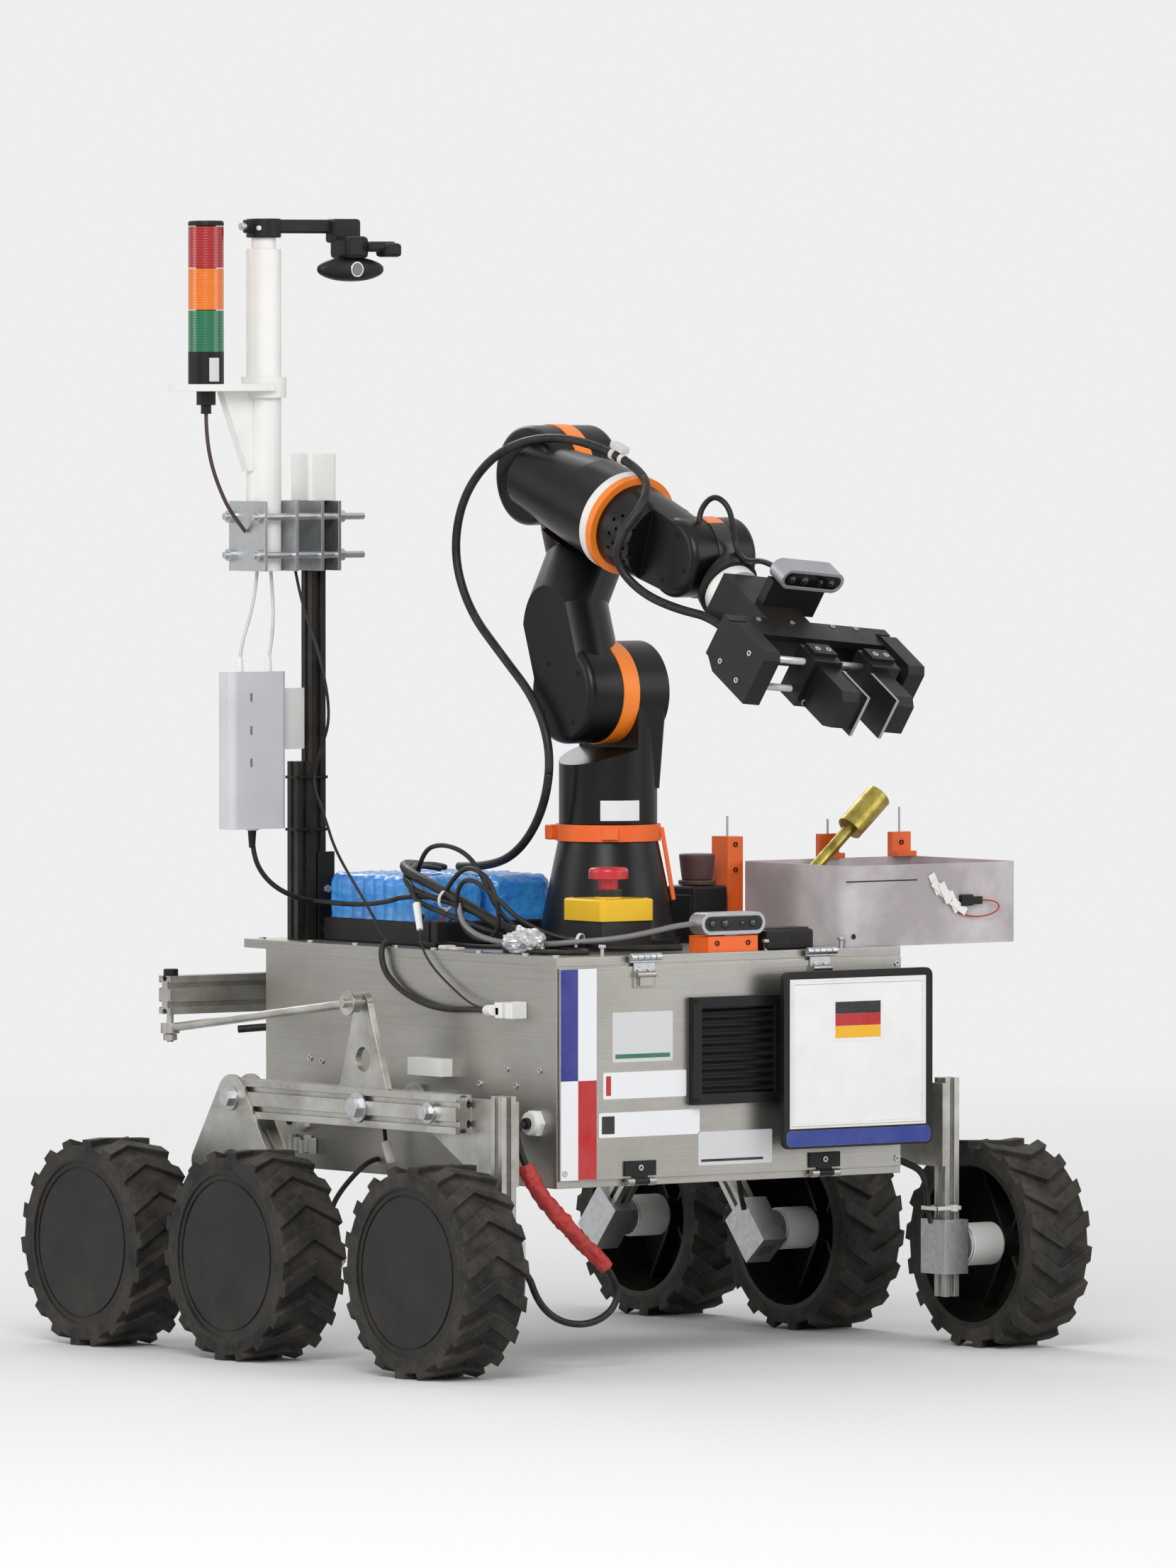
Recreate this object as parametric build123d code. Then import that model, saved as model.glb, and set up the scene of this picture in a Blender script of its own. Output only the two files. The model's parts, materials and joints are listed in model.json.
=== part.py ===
from build123d import *
import os
from math import acos, cos, degrees, hypot, pi, radians, sin, tan

# Six-wheel rocker-bogie rover prototype: a folded sheet body, six driven wheels,
# a six-axis arm with a two-jaw hand, a mast with a signal tower, and a sample tray.
# Millimetres. +X is forward, +Y is the vehicle's left, +Z is up, the ground is z = 0.
# Everything is laid out from the middle of the body in X and from its middle plane in Y.
# At the end the whole vehicle slides along X until its bounding box is centred there.

# Wheels
tyre_tip_radius = 120.0
tyre_width = 82.0
lug_count = 18
lug_depth = 7.0
lug_thickness = 17.0
tyre_sides = 36
tyre_bore_radius = 97.0
hub_wall = 7.0
hub_face_inset = 1.5
hub_face_thickness = 7.0
rim_line_radius = 84.0
rim_line_width = 3.0
rim_line_depth = 1.5
hub_boss_radius = 18.0
hub_rib_count = 6
hub_rib_thickness = 4.0
axle_radius = 6.0
axle_clearance = 0.1

# Where the wheels stand
wheel_y = 400.0
front_axle_x = 262.0
mid_axle_x = -83.0
rear_axle_x = -368.0
axle_z = tyre_tip_radius * cos(pi / lug_count)

# Gear motors
motor_radius = 22.0
motor_cap_radius = 24.0
motor_cap_length = 46.0
motor_cap_gap = 14.0
clamp_across = 44.0
clamp_height = 62.0
clamp_wall = 7.0

# Slotted profiles
slot_pitch = 22.0
slot_mouth = 6.2
slot_lip = 1.8
slot_room = 10.6
slot_depth = 6.0
beam_tall = 44.0
beam_deep = 22.0
leg_width = 20.0

# Body
tub_length = 556.0
tub_width = 488.0
tub_floor_z = 205.0
tub_top_z = 453.0
sheet = 3.0
lip = 14.0
lid_height = 10.0
lid_overhang = 43.0
front_x = tub_length / 2
rear_x = -front_x
side_y = tub_width / 2
deck_z = tub_top_z + lid_height

# Suspension
beam_y = 316.0
beam_z = 287.0
beam_rear_x = -245.0
beam_front_x = 200.0
front_leg_x = 274.0
front_leg_bottom_z = 61.0
front_leg_top_z = 311.0
gusset_thickness = 4.0
gusset_drop = 77.0
gusset_rear_x = 120.0
rocker_x = 15.0
third_bolt_x = 150.0
bogie_x = (mid_axle_x + rear_axle_x) / 2
bell_thickness = 4.0
bell_top_radius = 27.0
bell_foot_radius = 15.0
bell_foot_reach = 98.0
bell_arch_radius = 36.0
bogie_leg_start = 52.0
bogie_leg_past_axle = 16.0
lever_tip_z = 405.0
lever_foot = 90.0
lever_thickness = 8.0

# Differential
bar_x = -344.0
bar_z = 400.0
bar_half_length = 340.0
link_y = 332.0
link_radius = 5.0
link_rear_z = 362.0
rod_eye_radius = 11.0
rod_eye_width = 12.0
clevis_plate = 5.0
clevis_half_width = 22.0

# Door, its latches and what it carries
door_gap = 0.5
door_margin = 2.0
door_bottom_z = tub_floor_z + 8
door_top_z = tub_top_z - door_margin
door_half_width = side_y - door_margin
hinge_x = front_x + 6.5
hinge_z = 210.0
hinge_radius = 4.0
hinge_pin_radius = 1.8
hinge_y = 131.0
hinge_leaf_height = 20.0
latch_y = 125.0
grille_y = (-61.0, 66.0)
grille_z = (293.0, 414.0)
grille_depth = 9.0
grille_border = 12.0
slat_count = 10
slat_thickness = 2.4
plate_holder_y = (49.0, 262.0)
plate_holder_z = (240.0, 440.0)
plate_standoff = 26.0
plate_rib = 16.0
plate_holder_thickness = 7.0
plate_rim = 8.0
plate_thickness = 2.0
plate_strip = 22.0

# Deck equipment
estop_x, estop_y = 162.0, -84.0
estop_size = 75.0
estop_base_height = 34.0
estop_cover_height = 25.0
estop_collar_radius = 15.0
estop_collar_height = 10.0
estop_button_radius = 22.5
estop_button_height = 25.0
deck_camera_x, deck_camera_y, deck_camera_z = 262.0, 8.0, 495.0
camera_length, camera_height, camera_depth = 90.0, 25.0, 25.0
battery_x = -137.0
battery_ys = (-148.0, -52.0)
battery_length, battery_width, battery_height = 194.0, 88.0, 80.0
tray_x = (72.0, 270.0)
tray_y = (171.0, 425.0)
tray_height = 92.0
tray_wall = 3.0
tray_corner = 18.0
bracket_top_z = 583.0
hook_reach = 8.0
hook_ys = (303.0, 408.0)
core_stem_radius = 7.0
core_head_radius = 15.5
core_stem_length = 180.0
core_head_length = 56.0
core_lean = 49.0
core_foot_y = 182.0
tall_module_x, tall_module_y, tall_module_height = (35.0, 85.0), (95.0, 145.0), 66.0
cup_radius, cup_height = 20.0, 35.0
low_module_x, low_module_y, low_module_height = (236.0, 270.0), (58.0, 126.0), 25.0

# Right side wall: X, Z, radius and length of each gland, and the socket boxes' sizes
side_glands = ((241.0, 277.0, 13.0, 12.0), (-115.0, 272.0, 11.0, 12.0))
side_sockets = (((186.0, 202.0), (394.0, 408.0), 9.0), ((206.0, 222.0), (398.0, 412.0), 9.0),
                ((190.0, 198.0), (397.0, 405.0), 22.0), ((18.0, 82.0), (322.0, 342.0), 16.0))

# Mast
mast_x = -262.0
post_y = -188.0
post_width = 20.0
post_top_z = 967.0
short_post_top_z = 668.0
foot_top_z = 560.0
cap_size = 39.0
cap_height = 54.0
pole_y = -258.0
pole_radius = 20.0
pole_bore_radius = 17.0
pole_over_post = 288.0
pole_top_z = post_top_z + pole_over_post
inner_pole_radius = 14.0
inner_pole_top_z = pole_top_z + 22
clamp_span = 80.0
clamp_bottom_z = post_top_z - clamp_span
clamp_plate = 4.0
clamp_half_width = 35.0
camera_bar_y = (-285.0, -120.0)
camera_bar_z = (inner_pole_top_z - 9, inner_pole_top_z + 13)
mast_camera_y, mast_camera_z = -150.0, inner_pole_top_z - 45
tower_y = -339.0
tower_radius = 20.5
tower_shelf_z = post_top_z + 126
tower_shelf_height = 8.0
tower_shelf_width = 63.0
tower_base_height = 37.0
lens_height = 47.0
lens_gap = 0.8
radio_y = -275.0
radio_depth, radio_width, radio_height = 31.0, 78.0, 180.0
radio_bottom_z = 592.0

# Arm: the joints lie in one upright plane, each joint's ring is centred on ring_y
arm_x = 50.0
skirt_foot_radius = 80.0
skirt_radius = 57.0
skirt_top_z = 582.0
base_ring_radius = 60.0
base_ring_height = 19.0
column_radius = 56.0
column_top_low_z = 669.0
column_top_high_z = 688.0
ring_y = -10.0
ring_width = 22.0
ring_proud = 1.2
joint_gap = 0.6
scoop_clearance = 4.0
edge_round = 9.0
fold_limit = 3.0
j2_z = 751.0
j2_radius = 58.0
j2_left_y = 44.0
j2_right_y = -68.0
upper_length = 260.0
upper_lean = 18.9
upper_radius = 51.0
upper_low_y = -39.0
upper_high_y = 17.0
upper_cross = (95.0, 175.0)
j3_radius = 57.0
j3_left_y = 43.0
j3_right_y = -58.0
forearm_droop = 18.9
forearm_length = 278.0
forearm_y = -26.0
elbow_reach = 151.0
elbow_radius = (40.0, 54.0)
band_width = 22.0
band_radius = 58.0
forearm_radius = (50.0, 45.0)
j5_ring_y = -1.0
j5_radius = 45.0
j5_left_y = 44.0
j5_right_y = -48.0
wrist_y = -7.0
wrist_radius = 37.0
wrist_length = 66.0
wrist_swing = 13.0
wrist_scoop = 12.0
hand_droop = 32.0
hand_roll = -6.0
flange_radius = 32.0
flange_thickness = 14.0

# Hand, along its own axes: x out of the flange, y to the left, z up
hand_back_x = 95.0
hand_front_x = 183.0
hand_half_height = 33.0
hand_left = 118.0
hand_right = -73.0
hand_block = 24.0
guide_x = 165.0
guide_z = 18.0
guide_radius = 4.0
guide_clearance = 0.1
jaw_mid_y = 41.0
jaw_half_gap = 19.5
jaw_length = 59.0
jaw_thickness = 33.0
jaw_z = (-27.0, 22.0)
pad_thickness = 4.0
carriage_width = 41.0
carriage_offset = 43.0
carriage_x = (148.0, 182.0)

# Cord sizes
arm_cable_diameter = 10.0
radio_cable_diameter = 6.0
leg_cable_diameter = 8.0
bundle_diameter = 18.0

upper_x = -upper_length * sin(radians(upper_lean))
j3_x = arm_x + upper_x
j3_z = j2_z + upper_length * cos(radians(upper_lean))
j5_x = j3_x + forearm_length * cos(radians(forearm_droop))
j5_z = j3_z - forearm_length * sin(radians(forearm_droop))
flange_offset = wrist_length + flange_thickness
forearm_at = Pos(j3_x, forearm_y, j3_z) * Rot(0, forearm_droop, 0)
wrist_at = Pos(j5_x, wrist_y, j5_z) * Rot(0, hand_droop, 0)
hand_at = wrist_at * Pos(flange_offset, 0, 0) * Rot(hand_roll, 0, 0)


def box(x0, x1, y0, y1, z0, z1):
    """Box between two opposite corners."""
    middle = Pos((x0 + x1) / 2, (y0 + y1) / 2, (z0 + z1) / 2)
    return middle * Box(abs(x1 - x0), abs(y1 - y0), abs(z1 - z0))


def rod_x(radius, x0, x1, y=0.0, z=0.0):
    """Round bar along X."""
    return Pos((x0 + x1) / 2, y, z) * Rot(0, 90, 0) * Cylinder(radius, abs(x1 - x0))


def rod_y(radius, y0, y1, x=0.0, z=0.0):
    """Round bar along Y."""
    return Pos(x, (y0 + y1) / 2, z) * Rot(90, 0, 0) * Cylinder(radius, abs(y1 - y0))


def rod_z(radius, z0, z1, x=0.0, y=0.0):
    """Round bar along Z."""
    return Pos(x, y, (z0 + z1) / 2) * Cylinder(radius, abs(z1 - z0))


def bar_between(radius, start, end):
    """Round bar from one point to another."""
    return extrude(Plane(start, z_dir=Vector(end) - Vector(start)) * Circle(radius),
                   (Vector(end) - Vector(start)).length)


def prism_y(radius, y0, y1):
    """Many-sided bar about the Y axis, its corners on the radius."""
    return Pos(0, y1, 0) * Rot(90, 0, 0) * extrude(RegularPolygon(radius, tyre_sides), y1 - y0)


def slab_y(outline, y0, y1):
    """A shape drawn as (x, z) points and made solid between two Y planes."""
    shape = extrude(Polygon(*outline, align=None), y1 - y0, dir=(0, 0, 1))
    return Pos(0, y1, 0) * Rot(90, 0, 0) * shape


def slab_x(outline, x0, x1):
    """A shape drawn as (y, z) points and made solid between two X planes."""
    return extrude(Plane.YZ.offset(x0) * Polygon(*outline, align=None), x1 - x0, dir=(1, 0, 0))


def mirrored(shape):
    """The same piece on the other side of the vehicle."""
    return mirror(shape, about=Plane.XZ)


def both_sides(shape):
    return [shape, mirrored(shape)]


def slot_outline():
    """One slot, its mouth at y = 0 and its floor below."""
    half_mouth, half_room = slot_mouth / 2, slot_room / 2
    return Polygon(
        (-half_mouth, 1), (-half_mouth, -slot_lip), (-half_room, -slot_lip),
        (-half_mouth, -slot_depth), (half_mouth, -slot_depth), (half_room, -slot_lip),
        (half_mouth, -slot_lip), (half_mouth, 1), align=None)


def profile(wide, deep, length):
    """Slotted profile that runs along Z from zero, wide along X and deep along Y."""
    section = Rectangle(wide, deep)
    for across, along, turn in ((deep, wide, 0), (wide, deep, 90)):
        count = max(1, round(along / slot_pitch))
        for index in range(count):
            offset = (index - (count - 1) / 2) * along / count
            for half_turn in (0, 180):
                section -= Rot(0, 0, turn + half_turn) * Pos(offset, across / 2) * slot_outline()
    return extrude(section, length)


def cord(points, diameter):
    """A tube along straight runs joined by arcs as large as the runs allow."""
    stops = [Vector(*point) for point in points]
    radii = []
    for before, here, after in zip(stops, stops[1:], stops[2:]):
        turn = radians((here - before).get_angle(after - here))
        shorter = min((here - before).length, (after - here).length)
        radii.append(0.45 * shorter / tan(turn / 2))
    path = FilletPolyline(*stops, radius=radii)
    tube = sweep(Plane(path @ 0, z_dir=path % 0) * Circle(diameter / 2), path=path)
    expected = pi * diameter ** 2 / 4 * path.length
    print("cord: length", round(path.length, 1), "smallest radius", round(min(radii), 1),
          "volume over expected", round(tube.volume / expected, 4))
    return tube


# Wheels

def tyre():
    """Left-hand tyre about the Y axis, with its chevrons pointing down at the front."""
    flat_radius = tyre_tip_radius * cos(pi / lug_count)
    carcass_radius = flat_radius - lug_depth
    half = tyre_width / 2
    carcass = prism_y(carcass_radius / cos(pi / tyre_sides), -half, half)
    carcass -= prism_y(tyre_bore_radius, -half, half)
    reach = tyre_tip_radius * sin(pi / lug_count)
    chevron = Polygon(
        (reach, 0), (lug_thickness - reach, half), (-reach, half),
        (reach - lug_thickness, 0), (-reach, -half), (lug_thickness - reach, -half), align=None)
    root = carcass_radius - lug_depth / 2
    lug = Pos(0, 0, root) * extrude(chevron, flat_radius - root)
    return carcass.fuse(*[Rot(0, index * 360 / lug_count, 0) * lug for index in range(lug_count)])


def hub():
    """Left-hand hub about the Y axis: flat outer face, open inner side with a ribbed boss."""
    half = tyre_width / 2
    face = half - hub_face_inset
    web = face - hub_face_thickness
    shape = prism_y(tyre_bore_radius, -half, half)
    shape -= prism_y(tyre_bore_radius - hub_wall, -half, web)
    shape -= prism_y(tyre_bore_radius - hub_wall / 2, face, half)
    ring = prism_y(rim_line_radius + rim_line_width, face - rim_line_depth, face)
    shape -= ring - prism_y(rim_line_radius, face - rim_line_depth, face)
    boss_back = web - 36
    boss = rod_y(hub_boss_radius, boss_back, web)
    for index in range(hub_rib_count):
        rib = box(hub_boss_radius - 2, tyre_bore_radius - hub_wall + 1,
                  -hub_rib_thickness / 2, hub_rib_thickness / 2, 0, 20)
        boss += Rot(0, index * 360 / hub_rib_count, 0) * Pos(0, web, 0) * Rot(90, 0, 0) * rib
    return shape + boss - rod_y(axle_radius + axle_clearance, boss_back - 1, web - 2)


# Body and suspension

def chassis_tub():
    """Open-topped sheet box with folded lips, lower hinge leaves and the rear clevis."""
    tub = box(rear_x, front_x, -side_y, side_y, tub_floor_z, tub_top_z)
    inner = side_y - sheet
    tub -= box(rear_x + sheet, front_x + 1, -inner, inner, tub_floor_z + sheet, tub_top_z + 1)
    top = tub_top_z - sheet
    tub += box(rear_x + sheet, rear_x + sheet + lip, -inner, inner, top, tub_top_z)
    tub += box(front_x - lip, front_x, -inner, inner, top, tub_top_z)
    for side in (-1, 1):
        edge = side * inner
        tub += box(rear_x, front_x, edge, edge - side * lip, top, tub_top_z)
        tub += box(front_x - sheet, front_x, edge, edge - side * lip, tub_floor_z, tub_top_z)
    tub += box(front_x - sheet, front_x, -inner, inner, tub_floor_z, tub_floor_z + lip)
    for y in (-hinge_y, hinge_y):
        for side in (-1, 1):
            near, far = y + side * 10.5, y + side * 20.0
            tub += rod_y(hinge_radius, near, far, hinge_x, hinge_z)
            tub += box(front_x, hinge_x, near, far, hinge_z - 5, hinge_z - 1)
        tub += rod_y(hinge_pin_radius, y - 15, y + 15, hinge_x, hinge_z)
    return tub + clevis()


def clevis():
    """Forked bracket behind the rear wall that holds the differential bar's pivot."""
    half_tall = beam_tall / 2
    reach = bar_x - clevis_half_width
    fork = box(rear_x - clevis_plate, rear_x, -32, 32,
               bar_z - half_tall - 14, bar_z + half_tall + 14)
    for low in (bar_z + half_tall, bar_z - half_tall - clevis_plate):
        high = low + clevis_plate
        fork += box(bar_x, rear_x, -clevis_half_width, clevis_half_width, low, high)
        fork += rod_z(clevis_half_width, low, high, bar_x)
    top = bar_z + half_tall + clevis_plate
    fork += extrude(Pos(bar_x, 0, top) * RegularPolygon(9.5, 6), 7)
    fork += rod_z(13, bar_z - half_tall - clevis_plate - 3, bar_z - half_tall - clevis_plate, bar_x)
    return fork


def deck_lid():
    """Sheet lid with down-turned edges, longer than the body at the rear."""
    back = rear_x - lid_overhang
    lid = box(back, front_x, -side_y, side_y, tub_top_z, deck_z)
    lid -= box(back + sheet, front_x - sheet, -side_y + sheet, side_y - sheet,
               tub_top_z - 1, deck_z - sheet)
    for y in (-latch_y, latch_y):
        lid += box(front_x, front_x + 4, y - 7, y + 7, tub_top_z + 1, deck_z - 1)
    return lid


def rocker_arm():
    """Left-hand rocker: beam, front gusset plate, upright front leg and differential lever."""
    inner = beam_y - beam_deep / 2
    beam = Pos(beam_rear_x, beam_y, beam_z) * Rot(0, 90, 0)
    arm = beam * profile(beam_tall, beam_deep, beam_front_x - beam_rear_x)
    top = beam_z + beam_tall / 2 - 4
    low = beam_z - gusset_drop
    middle = beam_z - beam_tall / 2
    front = front_leg_x + leg_width / 2
    arm += slab_y([(gusset_rear_x, top), (front, top), (front, low), (front - 62, low),
                   (gusset_rear_x, middle)], inner - gusset_thickness, inner)
    leg = Pos(front_leg_x, inner + leg_width / 2, front_leg_bottom_z)
    arm += leg * profile(leg_width, leg_width, front_leg_top_z - front_leg_bottom_z)
    foot_z = beam_z + beam_tall / 2
    lever = slab_y([(rocker_x - lever_foot / 2, foot_z), (rocker_x + lever_foot / 2, foot_z),
                    (rocker_x + 9, lever_tip_z), (rocker_x - 15, lever_tip_z)],
                   beam_y - lever_thickness / 2, beam_y + lever_thickness / 2)
    lever += rod_y(12, beam_y - lever_thickness / 2, beam_y + lever_thickness / 2,
                   rocker_x - 3, lever_tip_z)
    lever -= rod_y(14, beam_y - 20, beam_y + 20, rocker_x, foot_z + 32)
    return arm + lever


def bogie_arm():
    """Left-hand bogie: two bell plates astride the rocker beam and two slotted legs."""
    inner, outer = beam_y - beam_deep / 2, beam_y + beam_deep / 2
    drop = beam_z - axle_z
    half_base = (mid_axle_x - rear_axle_x) / 2
    length = hypot(half_base, drop)
    lean = degrees(acos(drop / length))
    foot_x = bell_foot_reach * half_base / length
    foot_z = -bell_foot_reach * drop / length
    outline = Pos(0, 0) * Circle(bell_top_radius)
    for side in (-1, 1):
        outline += Pos(side * foot_x, foot_z) * Circle(bell_foot_radius)
    bell = make_hull(outline.edges())
    bell -= Pos(0, foot_z - 20) * Circle(bell_arch_radius)
    plate = Rot(90, 0, 0) * extrude(bell, bell_thickness)
    arm = Pos(bogie_x, inner, beam_z) * plate
    arm += Pos(bogie_x, outer + bell_thickness, beam_z) * plate
    for side in (-1, 1):
        start = Pos(bogie_x, beam_y, beam_z) * Rot(0, 180 - side * lean, 0)
        leg = start * Pos(0, 0, bogie_leg_start)
        arm += leg * profile(leg_width, beam_deep, length + bogie_leg_past_axle - bogie_leg_start)
    return arm


def wheel_motor(axle_x, leg_x, leg_y, lean):
    """Left-hand motor: a clamp on its leg, the gear head, a round cap and the axle."""
    inner, outer = leg_y - leg_width / 2 - clamp_wall, leg_y + leg_width / 2 + clamp_wall
    clamp = Pos(leg_x, 0, axle_z) * Rot(0, lean, 0) * box(
        -clamp_across / 2, clamp_across / 2, inner, outer, -clamp_height / 2, clamp_height / 2)
    cap_start = wheel_y - tyre_width / 2 - motor_cap_gap
    cap_end = cap_start + motor_cap_length
    motor = clamp + rod_y(motor_radius, outer, cap_start, axle_x, axle_z)
    motor += fillet(rod_y(motor_cap_radius, cap_start, cap_end, axle_x, axle_z)
                    .edges().filter_by(GeomType.CIRCLE).sort_by(Axis.Y)[-1], 5)
    return motor + rod_y(axle_radius, cap_end, wheel_y + 26, axle_x, axle_z)


def wheel_motors():
    """Six motors, with the clamps cut to the legs they sit on."""
    inner = beam_y - beam_deep / 2
    lean = degrees(acos((beam_z - axle_z) / hypot((mid_axle_x - rear_axle_x) / 2, beam_z - axle_z)))
    motors = both_sides(wheel_motor(front_axle_x, front_leg_x - 4, inner + leg_width / 2, 0)
                        - box(front_leg_x - leg_width / 2, front_leg_x + leg_width / 2, inner,
                              inner + leg_width, front_leg_bottom_z, front_leg_top_z))
    for axle_x, turn in ((mid_axle_x, -lean), (rear_axle_x, lean)):
        leg = Pos(axle_x, beam_y, axle_z) * Rot(0, turn, 0) * Box(leg_width, beam_deep, 2 * clamp_height)
        motors += both_sides(wheel_motor(axle_x, axle_x, beam_y, turn) - leg)
    return motors


def pivot_bolts():
    """Spacers between body and rocker, and the bolt heads that show outside."""
    inner, outer = beam_y - beam_deep / 2, beam_y + beam_deep / 2
    spacer = rod_y(17, side_y, inner, rocker_x, beam_z) + rod_y(26, side_y, side_y + 5, rocker_x, beam_z)
    pieces = both_sides(spacer)
    # Bolt heads: X, face they sit on, washer radius, head radius
    heads = ((rocker_x, outer, 17.0, 12.0), (bogie_x, outer + bell_thickness, 14.0, 10.0),
             (third_bolt_x, outer, 12.0, 8.5))
    for x, face, washer, head in heads:
        bolt = rod_y(washer, face, face + 2.5, x, beam_z)
        bolt += Pos(x, face + 2.5 + 8, beam_z) * Rot(90, 0, 0) * extrude(RegularPolygon(head, 6), 8)
        pieces += both_sides(bolt)
    nut = Pos(bogie_x, inner - bell_thickness, beam_z) * Rot(90, 0, 0)
    pieces += both_sides(nut * extrude(RegularPolygon(11, 6), 8))
    return pieces


def differential():
    """Bar across the rear wall, and a link rod from each end to its rocker's lever."""
    start = Pos(bar_x, -bar_half_length, bar_z) * Rot(-90, 0, 0)
    bar = start * profile(beam_deep, beam_tall, 2 * bar_half_length)
    low = bar_z - beam_tall / 2
    front_eye = Vector(rocker_x - 3, link_y, lever_tip_z)
    rear_eye = Vector(bar_x, link_y, link_rear_z)
    link = bar_between(link_radius, front_eye, rear_eye)
    link += rod_y(rod_eye_radius, link_y - rod_eye_width / 2, link_y + rod_eye_width / 2,
                  front_eye.X, front_eye.Z)
    link += rod_y(5, beam_y + lever_thickness / 2, link_y + 16, front_eye.X, front_eye.Z)
    link += rod_y(14, link_y + 6, link_y + 8.5, front_eye.X, front_eye.Z)
    link += rod_z(rod_eye_radius, rear_eye.Z - 6, rear_eye.Z + 6, rear_eye.X, rear_eye.Y)
    link += rod_z(4, rear_eye.Z - 16, low, rear_eye.X, rear_eye.Y)
    link += rod_z(8, rear_eye.Z - 14, rear_eye.Z - 7, rear_eye.X, rear_eye.Y)
    return bar + both_sides(link)


def side_fittings():
    """Cable glands and sockets on the side walls, and the small box behind the beam."""
    pieces = []
    for x, z, radius, length in side_glands:
        gland = rod_y(radius, -side_y - length, -side_y, x, z)
        gland += Pos(x, -side_y, z) * Rot(90, 0, 0) * extrude(RegularPolygon(radius + 3, 6), 6)
        pieces.append(gland)
    blocks = [box(*x, -side_y - depth, -side_y, *z) for x, z, depth in side_sockets]
    plugged, beside, plug, long_box = blocks
    return pieces + [plugged + plug, beside, long_box]


# Door

def door_panel():
    """Front sheet, with two toggle latches at its top edge."""
    x = front_x + door_gap
    door = box(x, x + sheet, -door_half_width, door_half_width, door_bottom_z, door_top_z)
    for y in (-latch_y, latch_y):
        door += box(x + sheet, x + sheet + 2, y - 15, y + 15, door_top_z - 24, door_top_z - 4)
        door += rod_y(3.5, y - 13, y + 13, x + sheet + 4.5, door_top_z - 9)
        door += box(x + sheet + 2, x + sheet + 6, y - 9, y + 9, door_top_z - 22, door_top_z - 8)
    return door


def door_hinges():
    """Upper leaves and middle knuckles of the two bottom hinges."""
    x = front_x + door_gap + sheet
    pieces = []
    for y in (-hinge_y, hinge_y):
        leaf = box(x, x + 2.5, y - 22, y + 22, door_bottom_z + 3, door_bottom_z + hinge_leaf_height)
        leaf += box(x, x + 2.5, y - 10, y + 10, hinge_z, door_bottom_z + 4)
        knuckle = rod_y(hinge_radius, y - 10, y + 10, hinge_x, hinge_z)
        leaf += knuckle
        pieces.append(leaf - rod_y(hinge_pin_radius + axle_clearance, y - 16, y + 16, hinge_x, hinge_z))
    return pieces


def vent_grille():
    """Black frame with tilted slats."""
    x = front_x + door_gap + sheet
    (y0, y1), (z0, z1) = grille_y, grille_z
    frame = box(x, x + grille_depth, y0, y1, z0, z1)
    edge = grille_border
    frame -= box(x + 2, x + grille_depth + 1, y0 + edge, y1 - edge, z0 + edge, z1 - edge)
    pitch = (z1 - z0 - 2 * edge) / slat_count
    for index in range(slat_count):
        z = z0 + edge + (index + 0.5) * pitch
        slat = Pos(x + grille_depth / 2, (y0 + y1) / 2, z) * Rot(0, 30, 0)
        frame += slat * Box(grille_depth - 1, y1 - y0 - 2 * edge + 2, slat_thickness)
    return frame


def plate_holder():
    """Black holder on two spacer ribs, with a raised rim round the plate."""
    x = front_x + door_gap + sheet
    back = x + plate_standoff
    face = back + plate_holder_thickness
    (y0, y1), (z0, z1) = plate_holder_y, plate_holder_z
    holder = box(back, face, y0, y1, z0, z1)
    corners = holder.edges().filter_by(Axis.X)
    holder = fillet(corners, 9)
    holder -= box(face - plate_thickness - 1, face + 1, y0 + plate_rim, y1 - plate_rim,
                  z0 + plate_strip, z1 - plate_rim)
    for y in (grille_y[1] + 6, door_half_width - plate_rib - 6):
        holder += box(x, back, y, y + plate_rib, z0 + 20, z1 - 20)
    return holder


def number_plate():
    """Blank plate with a pressed border."""
    face = front_x + door_gap + sheet + plate_standoff + plate_holder_thickness
    (y0, y1), (z0, z1) = plate_holder_y, plate_holder_z
    fit = 0.5
    low, high = z0 + plate_strip + fit, z1 - plate_rim - fit
    right, left = y0 + plate_rim + fit, y1 - plate_rim - fit
    back = face - plate_thickness - 1
    plate = box(back, back + plate_thickness, right, left, low, high)
    border = box(back + plate_thickness, back + plate_thickness + 1, right + 3, left - 3, low + 3, high - 3)
    border -= box(back, back + plate_thickness + 2, right + 6, left - 6, low + 6, high - 6)
    return plate + border


# Deck equipment

def arm_base():
    """Flared skirt that carries the arm."""
    flare = loft([Pos(arm_x, 0, deck_z + 8) * Circle(skirt_foot_radius),
                  Pos(arm_x, 0, skirt_top_z) * Circle(skirt_radius)])
    return flare + rod_z(skirt_foot_radius + 3, deck_z, deck_z + 8, arm_x)


def arm_base_ring():
    """Orange ring on the skirt, with a clamp lug."""
    ring = rod_z(base_ring_radius, skirt_top_z, skirt_top_z + base_ring_height, arm_x)
    return ring + Pos(arm_x, 0, 0) * Rot(0, 0, -35) * box(
        base_ring_radius - 3, base_ring_radius + 8, -9, 9, skirt_top_z + 3, skirt_top_z + base_ring_height - 3)


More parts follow.
